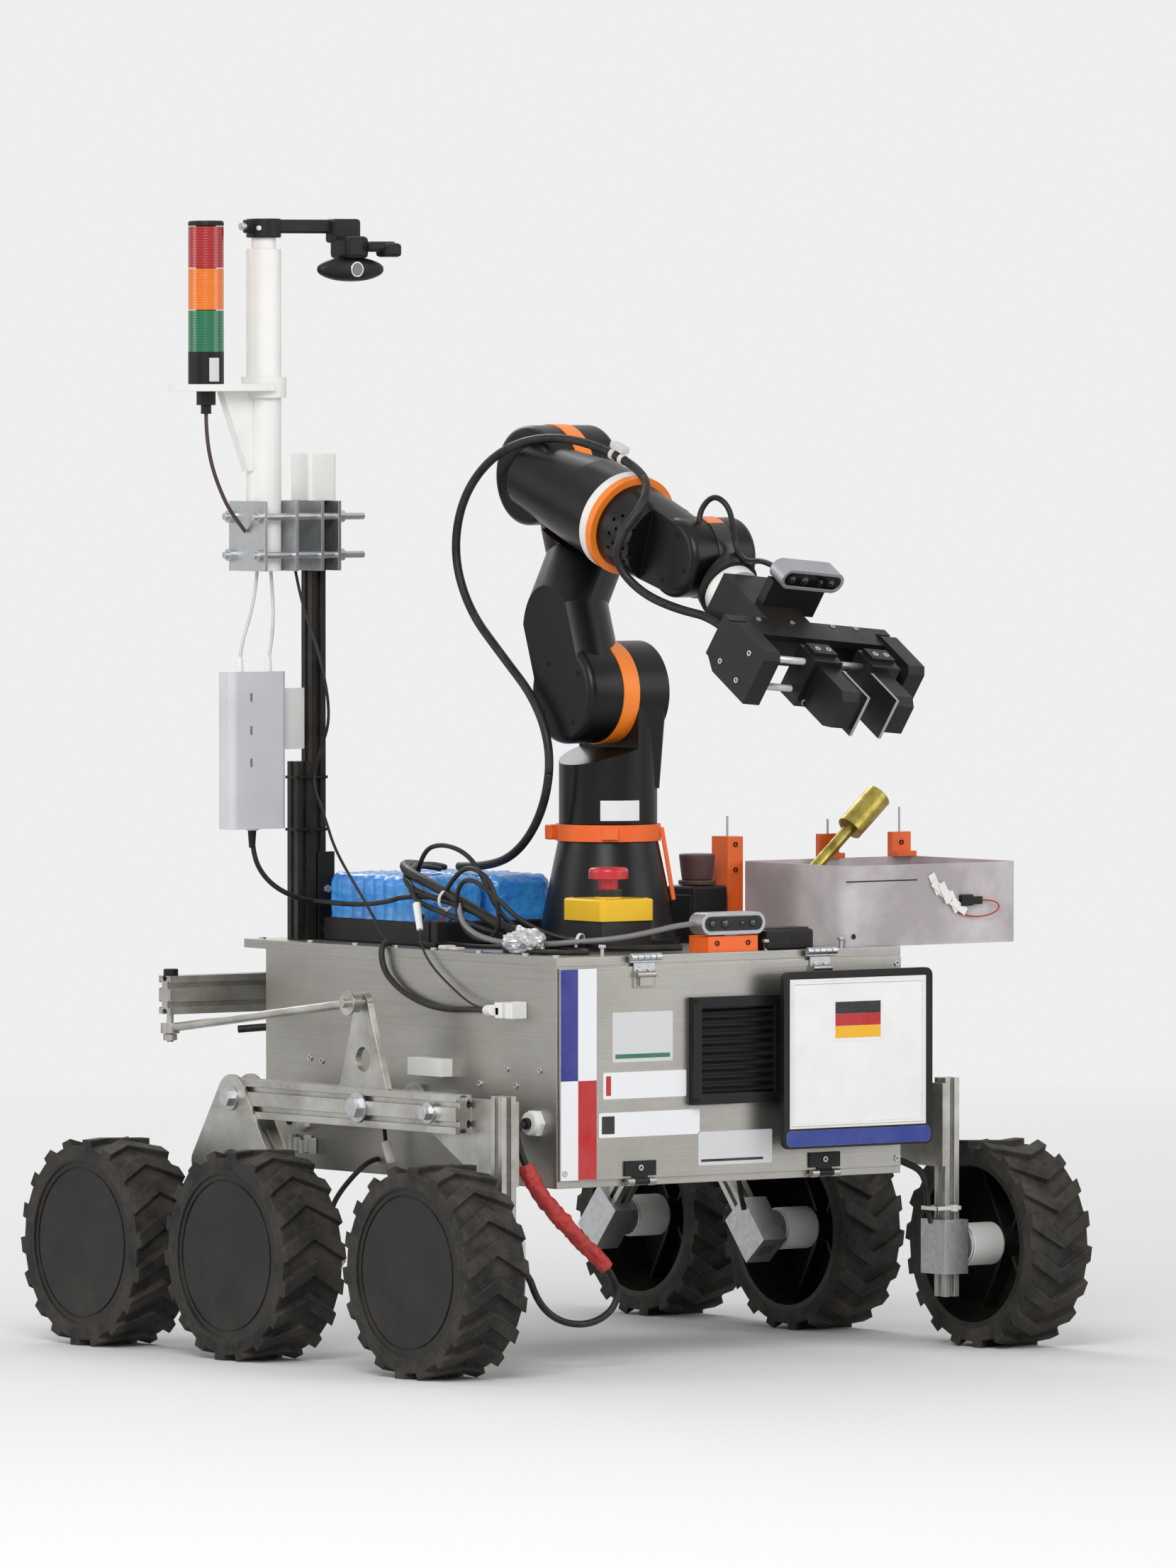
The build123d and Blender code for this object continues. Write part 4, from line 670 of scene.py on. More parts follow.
def tieRing(tree, given):
    ring = addNode(tree, "GeometryNodeCurvePrimitiveCircle", {
        "Resolution": 20, "Radius": given["Ring Radius"]})
    section = addNode(tree, "GeometryNodeCurvePrimitiveQuadrilateral", {
        "Width": given["Band Thickness"], "Height": given["Band Width"]})
    band = addNode(tree, "GeometryNodeCurveToMesh", {
        "Curve": ring.outputs[0], "Profile Curve": section.outputs[0]})
    lock = addNode(tree, "GeometryNodeMeshCube", {"Size": (0.0042, 0.0042, 0.004)})
    moved = addNode(tree, "ShaderNodeCombineXYZ", {"X": given["Ring Radius"]})
    lockAt = addNode(tree, "GeometryNodeTransform", {
        "Geometry": lock.outputs[0], "Translation": moved.outputs[0]})
    joined = tree.nodes.new("GeometryNodeJoinGeometry")
    for part in (band, lockAt):
        tree.links.new(part.outputs[0], joined.inputs[0])
    return joined.outputs[0]


screwTree = newRepeatTree("screwHeads", ("Head Radius", "Head Height", "Socket Share"), screwHead)
tieTree = newRepeatTree("cableTies", ("Ring Radius", "Band Width", "Band Thickness"), tieRing)


def placeOnPoints(name, spots, treeAndSockets, values, body, slotName, finish=None):
    # spots: pairs of a point and the way it faces
    tree, sockets = treeAndSockets
    points = bpy.data.meshes.new(name + "Points")
    points.from_pydata([tuple(spot[0]) for spot in spots], [], [])
    facing = points.attributes.new("facing", "FLOAT_VECTOR", "POINT")
    facing.data.foreach_set("vector", [value for spot in spots for value in spot[1]])
    carrier = newObject(name + "Carrier", points)
    modifier = carrier.modifiers.new("repeat", "NODES")
    modifier.node_group = tree
    for label, value in {**values, "Finish": finish or finishOf[slotName]}.items():
        modifier[sockets[label]] = value
    mesh = bpy.data.meshes.new_from_object(carrier.evaluated_get(bpy.context.evaluated_depsgraph_get()))
    bpy.data.objects.remove(carrier)
    mesh.name = name
    addPiece(name, mesh, body, slotName, finish)


def screwSet(name, spots, body, slotName, radius, height, share):
    values = {"Head Radius": radius * mm, "Head Height": 2 * height * mm, "Socket Share": share}
    placeOnPoints(name, spots, screwTree, values, body, slotName)


# Camera, at the photograph's viewing angle and distance

view = {"target": (0.0, 0.0, 0.645), "azimuth": 53.0, "elevation": 2.0, "distance": 16.0, "lens": 322.0}
around, above = math.radians(view["azimuth"]), math.radians(view["elevation"])
outward = Vector((math.cos(above) * math.sin(around), -math.cos(above) * math.cos(around), math.sin(above)))
cameraData = bpy.data.cameras.new("photoCamera")
cameraData.lens, cameraData.sensor_width = view["lens"], 36.0
cameraData.clip_start, cameraData.clip_end = 0.5, 200.0
camera = newObject("photoCamera", cameraData)
camera.location = Vector(view["target"]) + outward * view["distance"]
camera.rotation_euler = outward.to_track_quat("Z", "Y").to_euler()
bpy.context.scene.camera = camera


# Cords: the routes' points are in millimetres, as row() takes them

def routeCurve(name, points, diameter, steps=10):
    curve = bpy.data.curves.new(name, "CURVE")
    curve.dimensions = "3D"
    curve.resolution_u = steps
    curve.bevel_depth = diameter * mm / 2
    curve.bevel_resolution = 3
    curve.use_fill_caps = True
    spline = curve.splines.new("NURBS")
    spline.points.add(len(points) - 1)
    for point, place in zip(spline.points, points):
        point.co = (*row(*place), 1.0)
    spline.order_u = 3
    spline.use_endpoint_u = True
    return curve


def lineOf(points, steps=10):
    # Points along the route's NURBS line
    carrier = newObject("routeLine", routeCurve("routeLine", points, 0.0, steps))
    mesh = bpy.data.meshes.new_from_object(carrier.evaluated_get(bpy.context.evaluated_depsgraph_get()))
    line = [vertex.co.copy() for vertex in mesh.vertices]
    bpy.data.objects.remove(carrier)
    bpy.data.meshes.remove(mesh)
    return line


def longOf(line):
    return sum((after - before).length for before, after in zip(line, line[1:]))


def tubeMesh(name, line, radius, sides=14):
    form = bmesh.new()
    ahead = (line[1] - line[0]).normalized()
    across = ahead.orthogonal().normalized()
    turns = [2 * math.pi * step / sides for step in range(sides)]
    rings = []
    for index, place in enumerate(line):
        before, after = line[max(index - 1, 0)], line[min(index + 1, len(line) - 1)]
        ahead = (after - before).normalized()
        across = (across - ahead * across.dot(ahead)).normalized()
        up = ahead.cross(across)
        rings.append([form.verts.new(place + radius * (math.cos(turn) * across + math.sin(turn) * up))
                      for turn in turns])
    bridgeRings(form, rings)
    return meshFrom(form, name)


def addCord(name, points, diameter, finish, hides=()):
    cord = newObject(name, routeCurve(name, points, diameter))
    cord.data.materials.append(finish)
    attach(cord, "chassis")
    if hides:
        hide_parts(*hides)
    longOf(lineOf(points))


def addBendingCord(name, line, diameter, bodies, hides=()):
    # A length of cord along the line, from one body to the next, fixed in place
    piece = addPiece(name, tubeMesh(name, line, diameter * mm / 2), bodies[0], "cord_black", cordFinish, True)
    piece.parent = None
    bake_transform(piece)
    if hides:
        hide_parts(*hides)


cordFinish = finishOf["cord_black"]
redTape = cordJacket("redTape", linear(176, 34, 30), 0.5)
whiteLead = cordJacket("whiteLead", linear(214, 212, 206), 0.5)
greyLead = cordJacket("greyLead", linear(120, 122, 124), 0.4)
redLead = cordJacket("redLead", linear(186, 26, 24), 0.45)
brownLead = cordJacket("brownLead", linear(58, 40, 34), 0.5)

# Arm cable: one route, in a length for each joint that it crosses. "cuts" are the bodies at the two ends of a
# length, the point where it ends, and the points where its bend starts and ends.
armCable = {
    "points": ((-130, -78, 548.3), (-62, -82, 549.5), (0, -84, 573), (42, -84, 622), (52, -82, 684),
               (20, -80, 742), (-45, -80, 792), (-108, -80, 842), (-138, -80, 905), (-122, -80, 970),
               (-72, -76, 1018), (-5, -70, 1040), (60, -54, 1040), (125, -34, 1018), (180, -40, 993),
               (202, -66, 965), (190, -90, 932), (180, -88, 900), (205, -72, 868), (258, -62, 850),
               (320, -50, 840), (372.6, -49, 807.3)),
    "diameter": 10.0, "steps": 16,
    "cuts": (("chassis", "arm_turret", (47, -83, 660), (0, -84, 573), (47, -83, 640)),
             ("arm_turret", "arm_upper", (-100, -80, 835), (45, -81, 700), (-60, -80, 803)),
             ("arm_upper", "arm_elbow", (-40, -73, 1028), (-120, -80, 862), (-80, -77, 1010)),
             ("arm_elbow", "arm_forearm", (172, -38, 997), (60, -54, 1038), (160, -37, 1003)),
             ("arm_forearm", "arm_wrist", (246, -64, 853), (190, -85, 895), (240, -66, 856)),
             ("arm_wrist", "hand", (372.6, -49, 807.3), (262, -61, 850), (350, -49, 822))),
}


def nearestOn(line, first, last, place):
    return min(range(first, last), key=lambda index: (line[index] - place).length)


def makeArmCable():
    line = lineOf(armCable["points"], armCable["steps"])
    first = 0
    for number, (nearBody, farBody, cut, bendStart, bendEnd) in enumerate(armCable["cuts"]):
        last = nearestOn(line, first + 2, len(line), row(*cut))
        addBendingCord(f"armCable{number + 1}", line[first:last + 1], armCable["diameter"],
                       (nearBody, farBody), ("arm_cable",))
        first = last


makeArmCable()
addCord("radioCable", ((-262, -275, 592), (-262, -275, 562), (-252, -262, 532), (-238, -235, 513),
                       (-238, -190, 506), (-245, -152, 503), (-247, -128, 489), (-247, -128, 463)),
        6.0, cordFinish, ("radio_cable",))
addCord("glandLead", ((241, -256, 277), (241, -272, 277), (248, -278, 255), (256, -271, 232)),
        8.0, cordFinish, ("leg_cable",))

# Loose turns of tape: the skin is folded in and out along the tube. "folds" are scale and share.
tapedBundle = {
    "points": ((256, -271, 232), (264, -264, 205), (268, -240, 178), (272, -207, 147), (272, -172, 116)),
    "folds": ((75.0, 1.0), (170.0, 0.7)), "depth": 0.0026, "radius": 9.2, "diameter": 18.0, "steps": 14}


def makeTapedBundle():
    line = lineOf(tapedBundle["points"], tapedBundle["steps"])
    skin = tubeMesh("tapedBundle", line, tapedBundle["radius"] * mm, 28)
    for vertex in skin.vertices:
        fold = sum(share * noise.noise(vertex.co * scale) for scale, share in tapedBundle["folds"])
        vertex.co += vertex.normal * tapedBundle["depth"] * fold
    bundle = addPiece("tapedBundle", skin, "chassis", "cord_black", redTape, hides=("leg_cable",))


makeTapedBundle()
addCord("motorLoop", ((272, -172, 116), (272, -152, 94), (271, -158, 66), (269, -190, 50),
                      (267, -230, 54), (265, -260, 76), (262, -275, 118), (262, -297.9, 118)),
        8.0, cordFinish, ("leg_cable",))
print("cords laid")


# Plates, windows and stickers

def roundedOutline(width, height, radius, steps=5):
    outline = []
    for sideY, sideZ, start in ((1, 1, 0), (-1, 1, 90), (-1, -1, 180), (1, -1, 270)):
        for step in range(steps + 1):
            angle = math.radians(start + 90 * step / steps)
            outline.append((sideY * (width / 2 - radius) + radius * math.cos(angle),
                            sideZ * (height / 2 - radius) + radius * math.sin(angle)))
    return outline


def addPrism(form, outline, near, far, place):
    # Outline in the local Y and Z, from near to far along the local X
    bridgeRings(form, [[form.verts.new(place @ Vector((x, y, z))) for y, z in outline] for x in (near, far)])


def addPlates(name, slotName, finish, plates):
    # Thin plates on the door. Each: Y range, Z range, rear face, front face, corner radius
    form = bmesh.new()
    for yRange, zRange, near, far, radius in plates:
        middle = Matrix.Translation((0, sum(yRange) / 2 * mm, sum(zRange) / 2 * mm))
        outline = roundedOutline((yRange[1] - yRange[0]) * mm, (zRange[1] - zRange[0]) * mm, radius * mm)
        addPrism(form, outline, near * mm, far * mm, bodyAt @ middle)
    addPiece(name, meshFrom(form, name), "door", slotName, finish)


vinylOf = {name: vinyl("vinyl" + name, colour) for name, colour in (
    ("White", linear(232, 233, 236)), ("Silver", linear(206, 208, 210)), ("Blue", linear(30, 40, 132)),
    ("Red", linear(180, 22, 30)), ("Black", linear(16, 16, 18)), ("Gold", linear(236, 178, 16)),
    ("Green", linear(40, 110, 84)))}
plateBlue = vinyl("plateBlue", linear(16, 48, 136))

doorFace = (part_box("vent_grille")[0][0] - rowShift) / mm
plateFace = (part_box("number_plate")[1][0] - rowShift) / mm - 1.0
holderFace = (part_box("plate_holder")[1][0] - rowShift) / mm

# Plain sheets of vinyl on the door, by colour: Y range, Z range, height above the door, corner radius
doorSheets = {
    "Blue": (((-241.0, -217.0), (325.0, 450.0), 0.30, 0.5),),
    "White": (((-217.0, -191.0), (325.0, 450.0), 0.30, 0.5), ((-241.0, -217.0), (214.0, 325.0), 0.30, 0.5),
              ((-182.0, -65.0), (303.0, 333.0), 0.35, 2.0), ((-188.0, -46.0), (260.0, 288.0), 0.35, 2.0)),
    "Red": (((-217.0, -191.0), (214.0, 325.0), 0.30, 0.5), ((-178.0, -171.0), (307.0, 329.0), 0.50, 0.8)),
    "Silver": (((-169.0, -84.0), (344.0, 400.0), 0.35, 2.0), ((-48.0, 57.0), (224.0, 262.0), 0.35, 2.0)),
    "Green": (((-165.0, -88.0), (348.0, 353.0), 0.50, 0.8),),
    "Black": (((-184.0, -166.0), (264.0, 284.0), 0.50, 0.8), ((-44.0, 44.0), (228.0, 231.0), 0.50, 0.8)),
}
for colour, sheets in doorSheets.items():
    addPlates("doorSheets" + colour, "white_plastic", vinylOf[colour], [
        (yRange, zRange, doorFace - 0.2, doorFace + height, radius)
        for yRange, zRange, height, radius in sheets])

# Plate: a field of three plain stripes with a pale border, and the blue foot of its holder
plateStripes = {"y": (119.0, 191.0), "z": (360.0, 408.0), "border": 3.5, "colours": ("Gold", "Red", "Black")}


def makePlateTrim():
    addPlates("plateBadgeBorder", "plate_grey", vinylOf["White"],
              [(plateStripes["y"], plateStripes["z"], plateFace - 0.2, plateFace + 0.3, 2.0)])
    (yLow, yHigh), (zLow, zHigh), border = plateStripes["y"], plateStripes["z"], plateStripes["border"]
    height = (zHigh - zLow - 2 * border) / 3
    for number, colour in enumerate(plateStripes["colours"]):
        foot = zLow + border + number * height
        addPlates(f"plateStripe{number + 1}", "plate_grey", vinylOf[colour], [
            ((yLow + border, yHigh - border), (foot, foot + height), plateFace, plateFace + 0.5, 0.3)])
    addPlates("plateFoot", "black_plastic", plateBlue,
              [((52.0, 259.0), (242.5, 260.5), holderFace - 0.2, holderFace + 0.4, 6.0)])


makePlateTrim()

# Camera windows: dark glass with lenses. Each lens: Y and radius
glassFinish = darkGlass()
cameraLook = {"long": 81.0, "high": 16.0, "near": 11.0, "far": 12.3,
              "lenses": ((-30.0, 5.0), (-12.0, 6.0), (12.0, 3.2), (27.0, 5.0))}


def makeCameraFace(name, body, place):
    high, far = cameraLook["high"], cameraLook["far"] * mm
    window, lenses, glass = bmesh.new(), bmesh.new(), bmesh.new()
    addPrism(window, roundedOutline(cameraLook["long"] * mm, high * mm, high / 2 * mm - 1e-5, 8),
             cameraLook["near"] * mm, far, place)
    for y, radius in cameraLook["lenses"]:
        addDrum(lenses, place @ Vector((far - 0.0004, y * mm, 0)), place @ Vector((far + 0.0009, y * mm, 0)),
                radius * mm, 20, 0.0003)
        flattened = place.to_3x3().to_4x4() @ Matrix.Diagonal((0.35, 1, 1, 1))
        bmesh.ops.create_uvsphere(glass, u_segments=16, v_segments=10, radius=radius * 0.72 * mm, matrix=(
            Matrix.Translation(place @ Vector((far + 0.0006, y * mm, 0))) @ flattened))
    addPiece(name + "Window", meshFrom(window, name + "Window"), body, "camera_silver", glassFinish)
    addPiece(name + "Lenses", meshFrom(lenses, name + "Lenses"), body, "black_plastic")
    addPiece(name + "LensGlass", meshFrom(glass, name + "LensGlass"), body, "camera_silver", glassFinish,
             smooth=True)


makeCameraFace("deckCamera", "chassis", bodyAt @ Matrix.Translation((0.262, 0.008, 0.495)))
makeCameraFace("handCamera", "hand", handAt @ Matrix.Translation((0.068, 0.020, 0.0735)))

# Mast camera: clip blocks, a flattened pebble that is squarer than an ellipsoid, window and lens
mastCameraLook = {"at": (-242.0, -150.0, 1232.0), "half": (13.0, 46.0, 14.0), "squareness": 2.6, "slim": 0.28}


def makeMastCamera():
    x, y, z = mastCameraLook["at"]
    halfX, halfY, halfZ = mastCameraLook["half"]
    power = mastCameraLook["squareness"]
    form = bmesh.new()
    for vertex in bmesh.ops.create_uvsphere(form, u_segments=40, v_segments=24, radius=1.0)["verts"]:
        px, py, pz = vertex.co * sum(abs(value) ** power for value in vertex.co) ** (-1 / power)
        slim = 1.0 - mastCameraLook["slim"] * py * py
        vertex.co = row(x + px * halfX * slim, y + py * halfY, z + pz * halfZ * slim)
    addPiece("mastCameraShell", meshFrom(form, "mastCameraShell"), "chassis", "black_plastic", None, True,
             ("mast_camera",))
    addTrim("mastCameraArm", "chassis", "black_plastic", (
        ((-267, -285, 1273), (-257, -150, 1289), 2.5), ((-268, -168, 1262), (-250, -128, 1290), 4.0),
        ((-262, -166, 1244), (-226, -134, 1270), 5.0), ((-236, -120, 1246), (-214, -96, 1262), 4.0),
        ((-262, -140, 1252), (-218, -100, 1264), 4.0)),
        [((-262, -258, 1268), (-262, -258, 1290), 20.0, 40, 1.5)], hides=("mast_camera",))
    addTrim("mastCameraTrim", "chassis", "zinc_steel", drums=(
        ((x + 10, y, z), (x + 14.2, y, z), 9.0, 28, 0.6),
        ((-262, -290.5, 1281), (-262, -284, 1281), 4.5, 18, 0.5),
        ((-248, -276, 1279), (-245, -276, 1279), 3.0, 18, 0.4)))
    addTrim("mastCameraLens", "chassis", "black_plastic",
            drums=[((x + 11, y, z), (x + 14.6, y, z), 7.4, 28, 0.8)], finish=glassFinish)


makeMastCamera()
print("door, plate and cameras dressed")

# Battery packs: heat-shrunk film over two rows of cells. "footFade" is the height in which the
# film's folds run out above the deck.
packLook = {"x": (-234.0, -40.0), "ys": ((-192.0, -104.0), (-96.0, -8.0)), "z": (463.0, 543.0), "cells": 9,
            "swell": 3.2, "corner": 14.0, "footFade": 12.0, "deepest": 3.4}


def makePack(name, number, yRange):
    sides = (packLook["x"], yRange, packLook["z"])
    middle = [(low + high) / 2 for low, high in sides]
    halves = [(high - low) / 2 for low, high in sides]
    corner = packLook["corner"]
    form = bmesh.new()
    bmesh.ops.create_cube(form, size=2.0)
    bmesh.ops.subdivide_edges(form, edges=form.edges[:], cuts=39, use_grid_fill=True)
    for vertex in form.verts:
        # Round the edges, then sink the film between the cells
        point = Vector([value * half for value, half in zip(vertex.co, halves)])
        inside = Vector([max(corner - half, min(half - corner, value)) for value, half in zip(point, halves)])
        outwards = (point - inside).normalized() if (point - inside).length > 1e-6 else Vector()
        if outwards.length:
            point = inside + outwards * corner
        cell = (point.x + halves[0]) / (2 * halves[0]) * packLook["cells"]
        gap = 0.5 + 0.5 * math.cos(2 * math.pi * cell)
        x, y, z = point
        creases = noise.fractal(Vector((x * 0.05 + number * 9, y * 0.09, z * 0.09)), 0.6, 2.2, 5)
        ripple = noise.noise(Vector((x * 0.16, y * 0.03 + number * 5, z * 0.05)))
        sink = packLook["swell"] * (0.55 * gap + 0.35 * (0.5 - creases) + 0.35 * (0.5 - ripple))
        keep = max(0.0, min(1.0, (point.z + halves[2]) / packLook["footFade"]))
        point -= outwards * max(0.0, min(sink, packLook["deepest"])) * keep
        vertex.co = row(*[value + shift for value, shift in zip(point, middle)])
    addPiece(name, meshFrom(form, name), "chassis", "blue_wrap", None, True, ("battery_packs",))


for number, yRange in enumerate(packLook["ys"]):
    makePack(f"wrappedPack{number + 1}", number, yRange)
# Black block round the lower part of the packs: a dark base, and painted shadow under the packs
addTrim("packMat", "chassis", "black_plastic", [((-235.6, -193.6, 463), (-38.4, -6.4, 490), 2.0)])

# Gripper rods, pads and screws. The carriages stand beside the middle of the rods.
gripLook = {"rodX": 165.0, "rodZ": 18.0, "rodRadius": 4.06, "y": (-72.5, 117.5), "middle": 41.0,
            "carriage": 43.0, "pad": 19.5,
            "padEdges": ((186, 240.8, -28.1, -27.3), (186, 240.8, 22.3, 23.1), (240.6, 241.3, -28, 23))}


def makeGripTrim():
    form = bmesh.new()
    for z in (-gripLook["rodZ"], gripLook["rodZ"]):
        start, end = [handPoint(gripLook["rodX"], y, z) for y in gripLook["y"]]
        addDrum(form, start, end, gripLook["rodRadius"] * mm)
    addPiece("guideRods", meshFrom(form, "guideRods"), "hand", "zinc_steel", None, True)
    up, forward, right = [turned(handAt, way) for way in ((0, 0, 1), (1, 0, 0), (0, -1, 0))]
    for name, body, side in (("Right", "finger_right", -1), ("Left", "finger_left", 1)):
        middle = gripLook["middle"] + side * gripLook["carriage"]
        spots = [(handPoint(164.0, middle + offset, 35.0), up) for offset in (-8.0, 8.0)]
        spots += [(handPoint(182.0, middle + offset, -24.0), forward) for offset in (-9.0, 9.0)]
        screwSet("carriageScrews" + name, spots, body, "zinc_steel", 3.6, 1.6, 0.55)
        near, far = [gripLook["middle"] + side * (gripLook["pad"] + depth) for depth in (0.1, 3.9)]
        form = bmesh.new()
        for xLow, xHigh, zLow, zHigh in gripLook["padEdges"]:
            addBlock(form, (xLow * mm, near * mm, zLow * mm), (xHigh * mm, far * mm, zHigh * mm), handAt)
        addPiece("padEdge" + name, meshFrom(form, "padEdge" + name), body, "black_plastic", padEdgeFinish)
    spots = [(handPoint(x, -97.0, z), right) for x, z in ((122.0, -16.0), (158.0, 18.0), (158.0, -18.0))]
    spots += [(handPoint(61.0, y, 61.0), up) for y in (30.0, 50.0)]
    spots += [(handPoint(100.0, y, 29.0), up) for y in (-50.0, 0.0, 60.0, 95.0)]
    screwSet("handScrews", spots, "hand", "zinc_steel", 3.2, 1.4, 0.55)


padEdgeFinish = vinyl("padEdge", linear(150, 150, 150), 0.5)
makeGripTrim()

# Screws on the arm's round covers: name, X and Z of the middle, Y, circle radius, first angle, way they
# face, body, head radius
capScrews = (
    ("shoulderCapScrews", armLook["x"], armLook["z"], -68.0, 40, 35, -1, "arm_upper", 3.4),
    ("elbowCapScrews", elbowX, elbowZ, -58.0, 39, 20, -1, "arm_elbow", 3.4),
    ("elbowBackScrews", elbowX, elbowZ, 43.0, 39, 20, 1, "arm_upper", 3.4),
    ("shoulderBackScrews", armLook["x"], armLook["z"], 44.0, 40, 35, 1, "arm_turret", 3.4),
    ("wristCapScrews", wristX, wristZ, -48.0, 29, 60, -1, "arm_forearm", 2.8),
)
for name, x, z, y, radius, first, side, body, headRadius in capScrews:
    turns = [math.radians(angle) for angle in range(first, 360, 90)]
    spots = [(row(x + radius * math.cos(turn), y, z + radius * math.sin(turn)), (0, side, 0))
             for turn in turns]
    screwSet(name, spots, body, "arm_black", headRadius, 0.8, 0.6)


def makeCurvedLabel(name, middle, radii, angles, heights, body, slotName, finish):
    # A blank label bent round an upright column
    form = bmesh.new()
    corners = [(radii[side], heights[end]) for side, end in ((0, 0), (1, 0), (1, 1), (0, 1))]
    turns = [math.radians(angle) for angle in range(*angles)]
    bridgeRings(form, [[form.verts.new(row(
        middle[0] + reach * math.cos(turn), middle[1] + reach * math.sin(turn), z))
        for reach, z in corners] for turn in turns])
    addPiece(name, meshFrom(form, name), body, slotName, finish)


makeCurvedLabel("columnLabel", (50, 0), (55.85, 56.35), (-46, 3, 4), (606, 629), "arm_turret",
                "white_plastic", vinylOf["White"])
print("arm and gripper dressed")

# Loose leads: name, diameter, finish, stiffness, points
leads = (
    ("deckLeadLong", 7.5, cordFinish, "medium", (
        (-128, -100, 548), (-100, -150, 556), (-75, -198, 545), (-40, -212, 528), (10, -214, 520),
        (60, -210, 512), (110, -196, 492), (150, -165, 478), (190, -148, 472), (225, -120, 469),
        (240, -80, 468), (246, -45, 468))),
    ("deckBundle", 12.0, cordFinish, "medium", (
        (-126, -140, 551), (-92, -186, 556), (-55, -206, 548), (-10, -213, 538), (38, -214, 525),
        (85, -208, 506), (120, -194, 487), (160, -172, 477), (205, -152, 474))),
    ("deckLeadTurned", 6.0, cordFinish, "medium", (
        (-110, -120, 547), (-85, -175, 556), (-58, -203, 538), (-20, -222, 516), (40, -224, 504),
        (95, -210, 488), (140, -182, 474), (185, -165, 468), (215, -158, 466.5), (240, -170, 466.3),
        (243, -195, 466.3), (218, -212, 466.3), (170, -214, 466.3), (120, -206, 466.3), (88, -170, 466.3))),
    ("deckLeadLooped", 5.5, cordFinish, "medium", (
        (20, -213, 520), (50, -220, 545), (85, -222, 560), (120, -220, 546), (132, -216, 515),
        (125, -211, 486), (95, -208, 474), (65, -212, 482), (55, -219, 508), (66, -225, 535),
        (92, -228, 547), (125, -220, 530), (150, -202, 500), (180, -172, 480), (205, -142, 474))),
    ("deckCameraLead", 6.5, greyLead, "medium", (
        (258, -36, 495), (256, -56, 494), (248, -88, 487), (232, -122, 480), (204, -158, 476),
        (166, -190, 472), (126, -210, 474), (88, -218, 482), (62, -219, 498), (58, -217, 516))),
    ("deckLeadBack", 5.5, cordFinish, "medium", (
        (-60, -188, 545), (-35, -200, 572), (5, -202, 582), (45, -196, 572), (68, -190, 545),
        (82, -186, 515), (110, -178, 488), (140, -150, 472), (150, -126, 470))),
    ("deckLeadLow", 5.0, cordFinish, "medium", (
        (160, -123, 472), (150, -140, 467), (120, -160, 466), (80, -178, 466), (30, -188, 466),
        (-8, -202, 470), (-34, -206, 482), (-43, -194, 498))),
    ("packLeadRed", 3.6, redLead, "limp", (
        (-40, -140, 512), (-26, -152, 512), (-12, -180, 508), (-2, -198, 494), (2, -207, 484))),
    ("packLeadBlack", 3.6, cordFinish, "limp", (
        (-40, -130, 506), (-22, -146, 504), (-8, -174, 500), (6, -196, 490), (10, -206, 484))),
    ("radioRun", 6.0, cordFinish, "medium", (
        (-238, -207, 509), (-215, -208, 508), (-150, -209, 507), (-90, -210, 512), (-50, -213, 521),
        (0, -214, 521))),
    ("tippedLead", 2.6, cordFinish, "limp", (
        (-54, -208, 540), (-30, -221, 538), (-12, -228, 525), (4, -234, 503), (14, -239, 486),
        (26, -247, 472), (38, -251, 460), (56, -251, 443), (92, -252, 423), (127, -255, 408),
        (158, -260, 403), (180, -265, 402))),
    ("socketLead", 7.0, cordFinish, "medium", (
        (-46, -236, 467.5), (-46, -246, 469), (-44, -252, 458), (-39, -251, 438), (-22, -250.5, 424),
        (2, -250, 412), (43, -250, 401), (85, -251, 398), (126, -252, 400), (155, -257, 401),
        (175, -263, 401), (186, -266, 401))),
    ("mastLead", 3.4, cordFinish, "limp", (
        (-262, -214, 889), (-256, -210, 850), (-228, -203, 790), (-211, -200, 721), (-232, -200, 680),
        (-247, -202, 645), (-215, -206, 605), (-183, -215, 568), (-120, -228, 525), (-81, -236, 498),
        (-55, -240, 475), (-46, -238, 468))),
    ("antennaFeedLeft", 4.2, whiteLead, "medium", (
        (-264, -266, 889), (-264, -268, 868), (-264, -276, 835), (-263, -288, 806), (-262, -292, 785),
        (-262, -292, 770))),
    ("antennaFeedRight", 4.2, whiteLead, "medium", (
        (-260, -250, 889), (-260, -248, 868), (-260, -246, 835), (-261, -248, 806), (-262, -252, 785),
        (-262, -252, 770))),
    ("towerLead", 4.6, brownLead, "medium", (
        (-262, -339, 1068), (-262, -339, 1045), (-262, -331, 1005), (-262, -312, 965), (-262, -296, 945),
        (-262, -284, 932))),
    ("traySensorLead", 1.8, redLead, "limp", (
        (271.5, 366, 512), (277, 384, 512), (278, 390, 502), (276, 374, 494), (273, 350, 493),
        (271.5, 334, 498))),
    ("motorLeadFrontLeft", 8.0, cordFinish, "medium", (
        (240, 243, 226), (240, 252, 226), (246, 270, 216), (262, 290, 205), (262, 296, 180), (262, 297, 160),
        (266, 300, 145))),
    ("motorLeadMidLeft", 6.0, cordFinish, "medium", (
        (-60, 243, 222), (-60, 254, 222), (-68, 272, 205), (-80, 288, 180), (-84, 294, 160),
        (-84, 299, 142))),
    ("motorLeadMidRight", 6.0, cordFinish, "medium", (
        (-60, -243, 222), (-60, -254, 222), (-68, -272, 205), (-80, -288, 180), (-84, -294, 160),
        (-84, -299, 142))),
    ("rearPigtail", 9.0, cordFinish, "medium", (
        (-277, -196, 362), (-292, -202, 362), (-314, -218, 361), (-336, -242, 358))),
)
for name, diameter, finish, stiffness, points in leads:
    addCord(name, points, diameter, finish)

